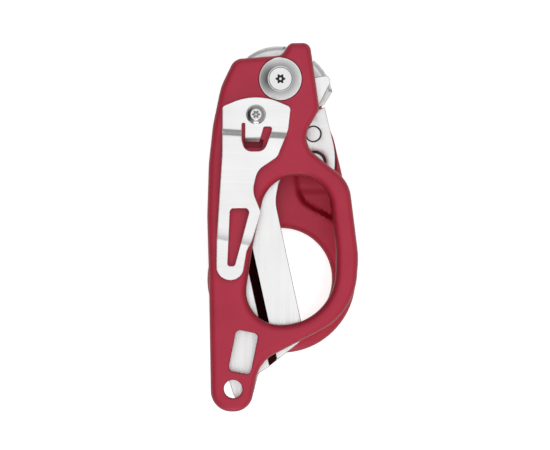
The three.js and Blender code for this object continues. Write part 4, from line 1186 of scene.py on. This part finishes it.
def stage_floor():
    """A wide pale floor with a slight glow, which keeps the ground white round the part."""
    surface = Surface()
    low, high = -FLOOR_REACH, FLOOR_REACH
    surface.face(surface.ring([(low, low), (high, low), (high, high), (low, high)], FLOOR_HEIGHT))
    mesh = surface.mesh("floor")
    floor = bpy.data.objects.new("floor", mesh)
    bpy.context.scene.collection.objects.link(floor)
    material, _, _, shader = new_material("pale_floor", (0.92, 0.92, 0.92), 0.0, 0.9)
    shader.inputs["Emission Color"].default_value = (1, 1, 1, 1)
    shader.inputs["Emission Strength"].default_value = FLOOR_GLOW
    mesh.materials.append(material)


def softbox():
    """A low light beyond the foot of the view."""
    data = bpy.data.lights.new("foot_softbox", "AREA")
    data.shape = "RECTANGLE"
    data.size, data.size_y = SOFTBOX_SIZE
    data.energy = SOFTBOX_POWER
    light = bpy.data.objects.new("foot_softbox", data)
    light.location = SOFTBOX_PLACE
    direction = Vector(SOFTBOX_TARGET) - Vector(SOFTBOX_PLACE)
    light.rotation_euler = direction.to_track_quat("-Z", "Y").to_euler()
    bpy.context.scene.collection.objects.link(light)


def studio_world():
    """A soft dome: bright overhead, darker low down and darkest towards -X."""
    world = bpy.data.worlds.new("studio")
    world.use_nodes = True
    nodes, links = world.node_tree.nodes, world.node_tree.links
    place = nodes.new("ShaderNodeTexCoord")
    split = nodes.new("ShaderNodeSeparateXYZ")
    dome = nodes.new("ShaderNodeValToRGB")
    product = nodes.new("ShaderNodeMath")
    product.operation = "MULTIPLY"
    links.new(place.outputs["Generated"], split.inputs["Vector"])
    links.new(split.outputs["Z"], dome.inputs["Fac"])
    stops = dome.color_ramp.elements
    for _ in DOME_STOPS[2:]:
        stops.new(0.5)
    for stop, (position, level) in zip(stops, DOME_STOPS):
        stop.position = position
        stop.color = (level, level, level, 1)
    side = mapped(nodes, links, split.outputs["X"], *DARK_SIDE)
    links.new(dome.outputs["Color"], product.inputs[0])
    links.new(side, product.inputs[1])
    background = nodes["Background"]
    links.new(product.outputs["Value"], background.inputs["Color"])
    background.inputs["Strength"].default_value = DOME_STRENGTH
    bpy.context.scene.world = world


def camera():
    """A long lens straight over the front handle's face, at which the view has its width."""
    data = bpy.data.cameras.new("camera")
    data.sensor_width = 36
    data.lens = 300
    data.clip_end = 10
    distance = data.lens * VIEW_WIDTH / data.sensor_width
    piece = bpy.data.objects.new("camera", data)
    piece.location = (*VIEW_CENTRE, heights("front_handle")[1] * MM + distance)
    bpy.context.scene.collection.objects.link(piece)
    bpy.context.scene.camera = piece


stage_floor()
studio_world()
softbox()
camera()
bpy.context.scene.view_settings.view_transform = "Standard"
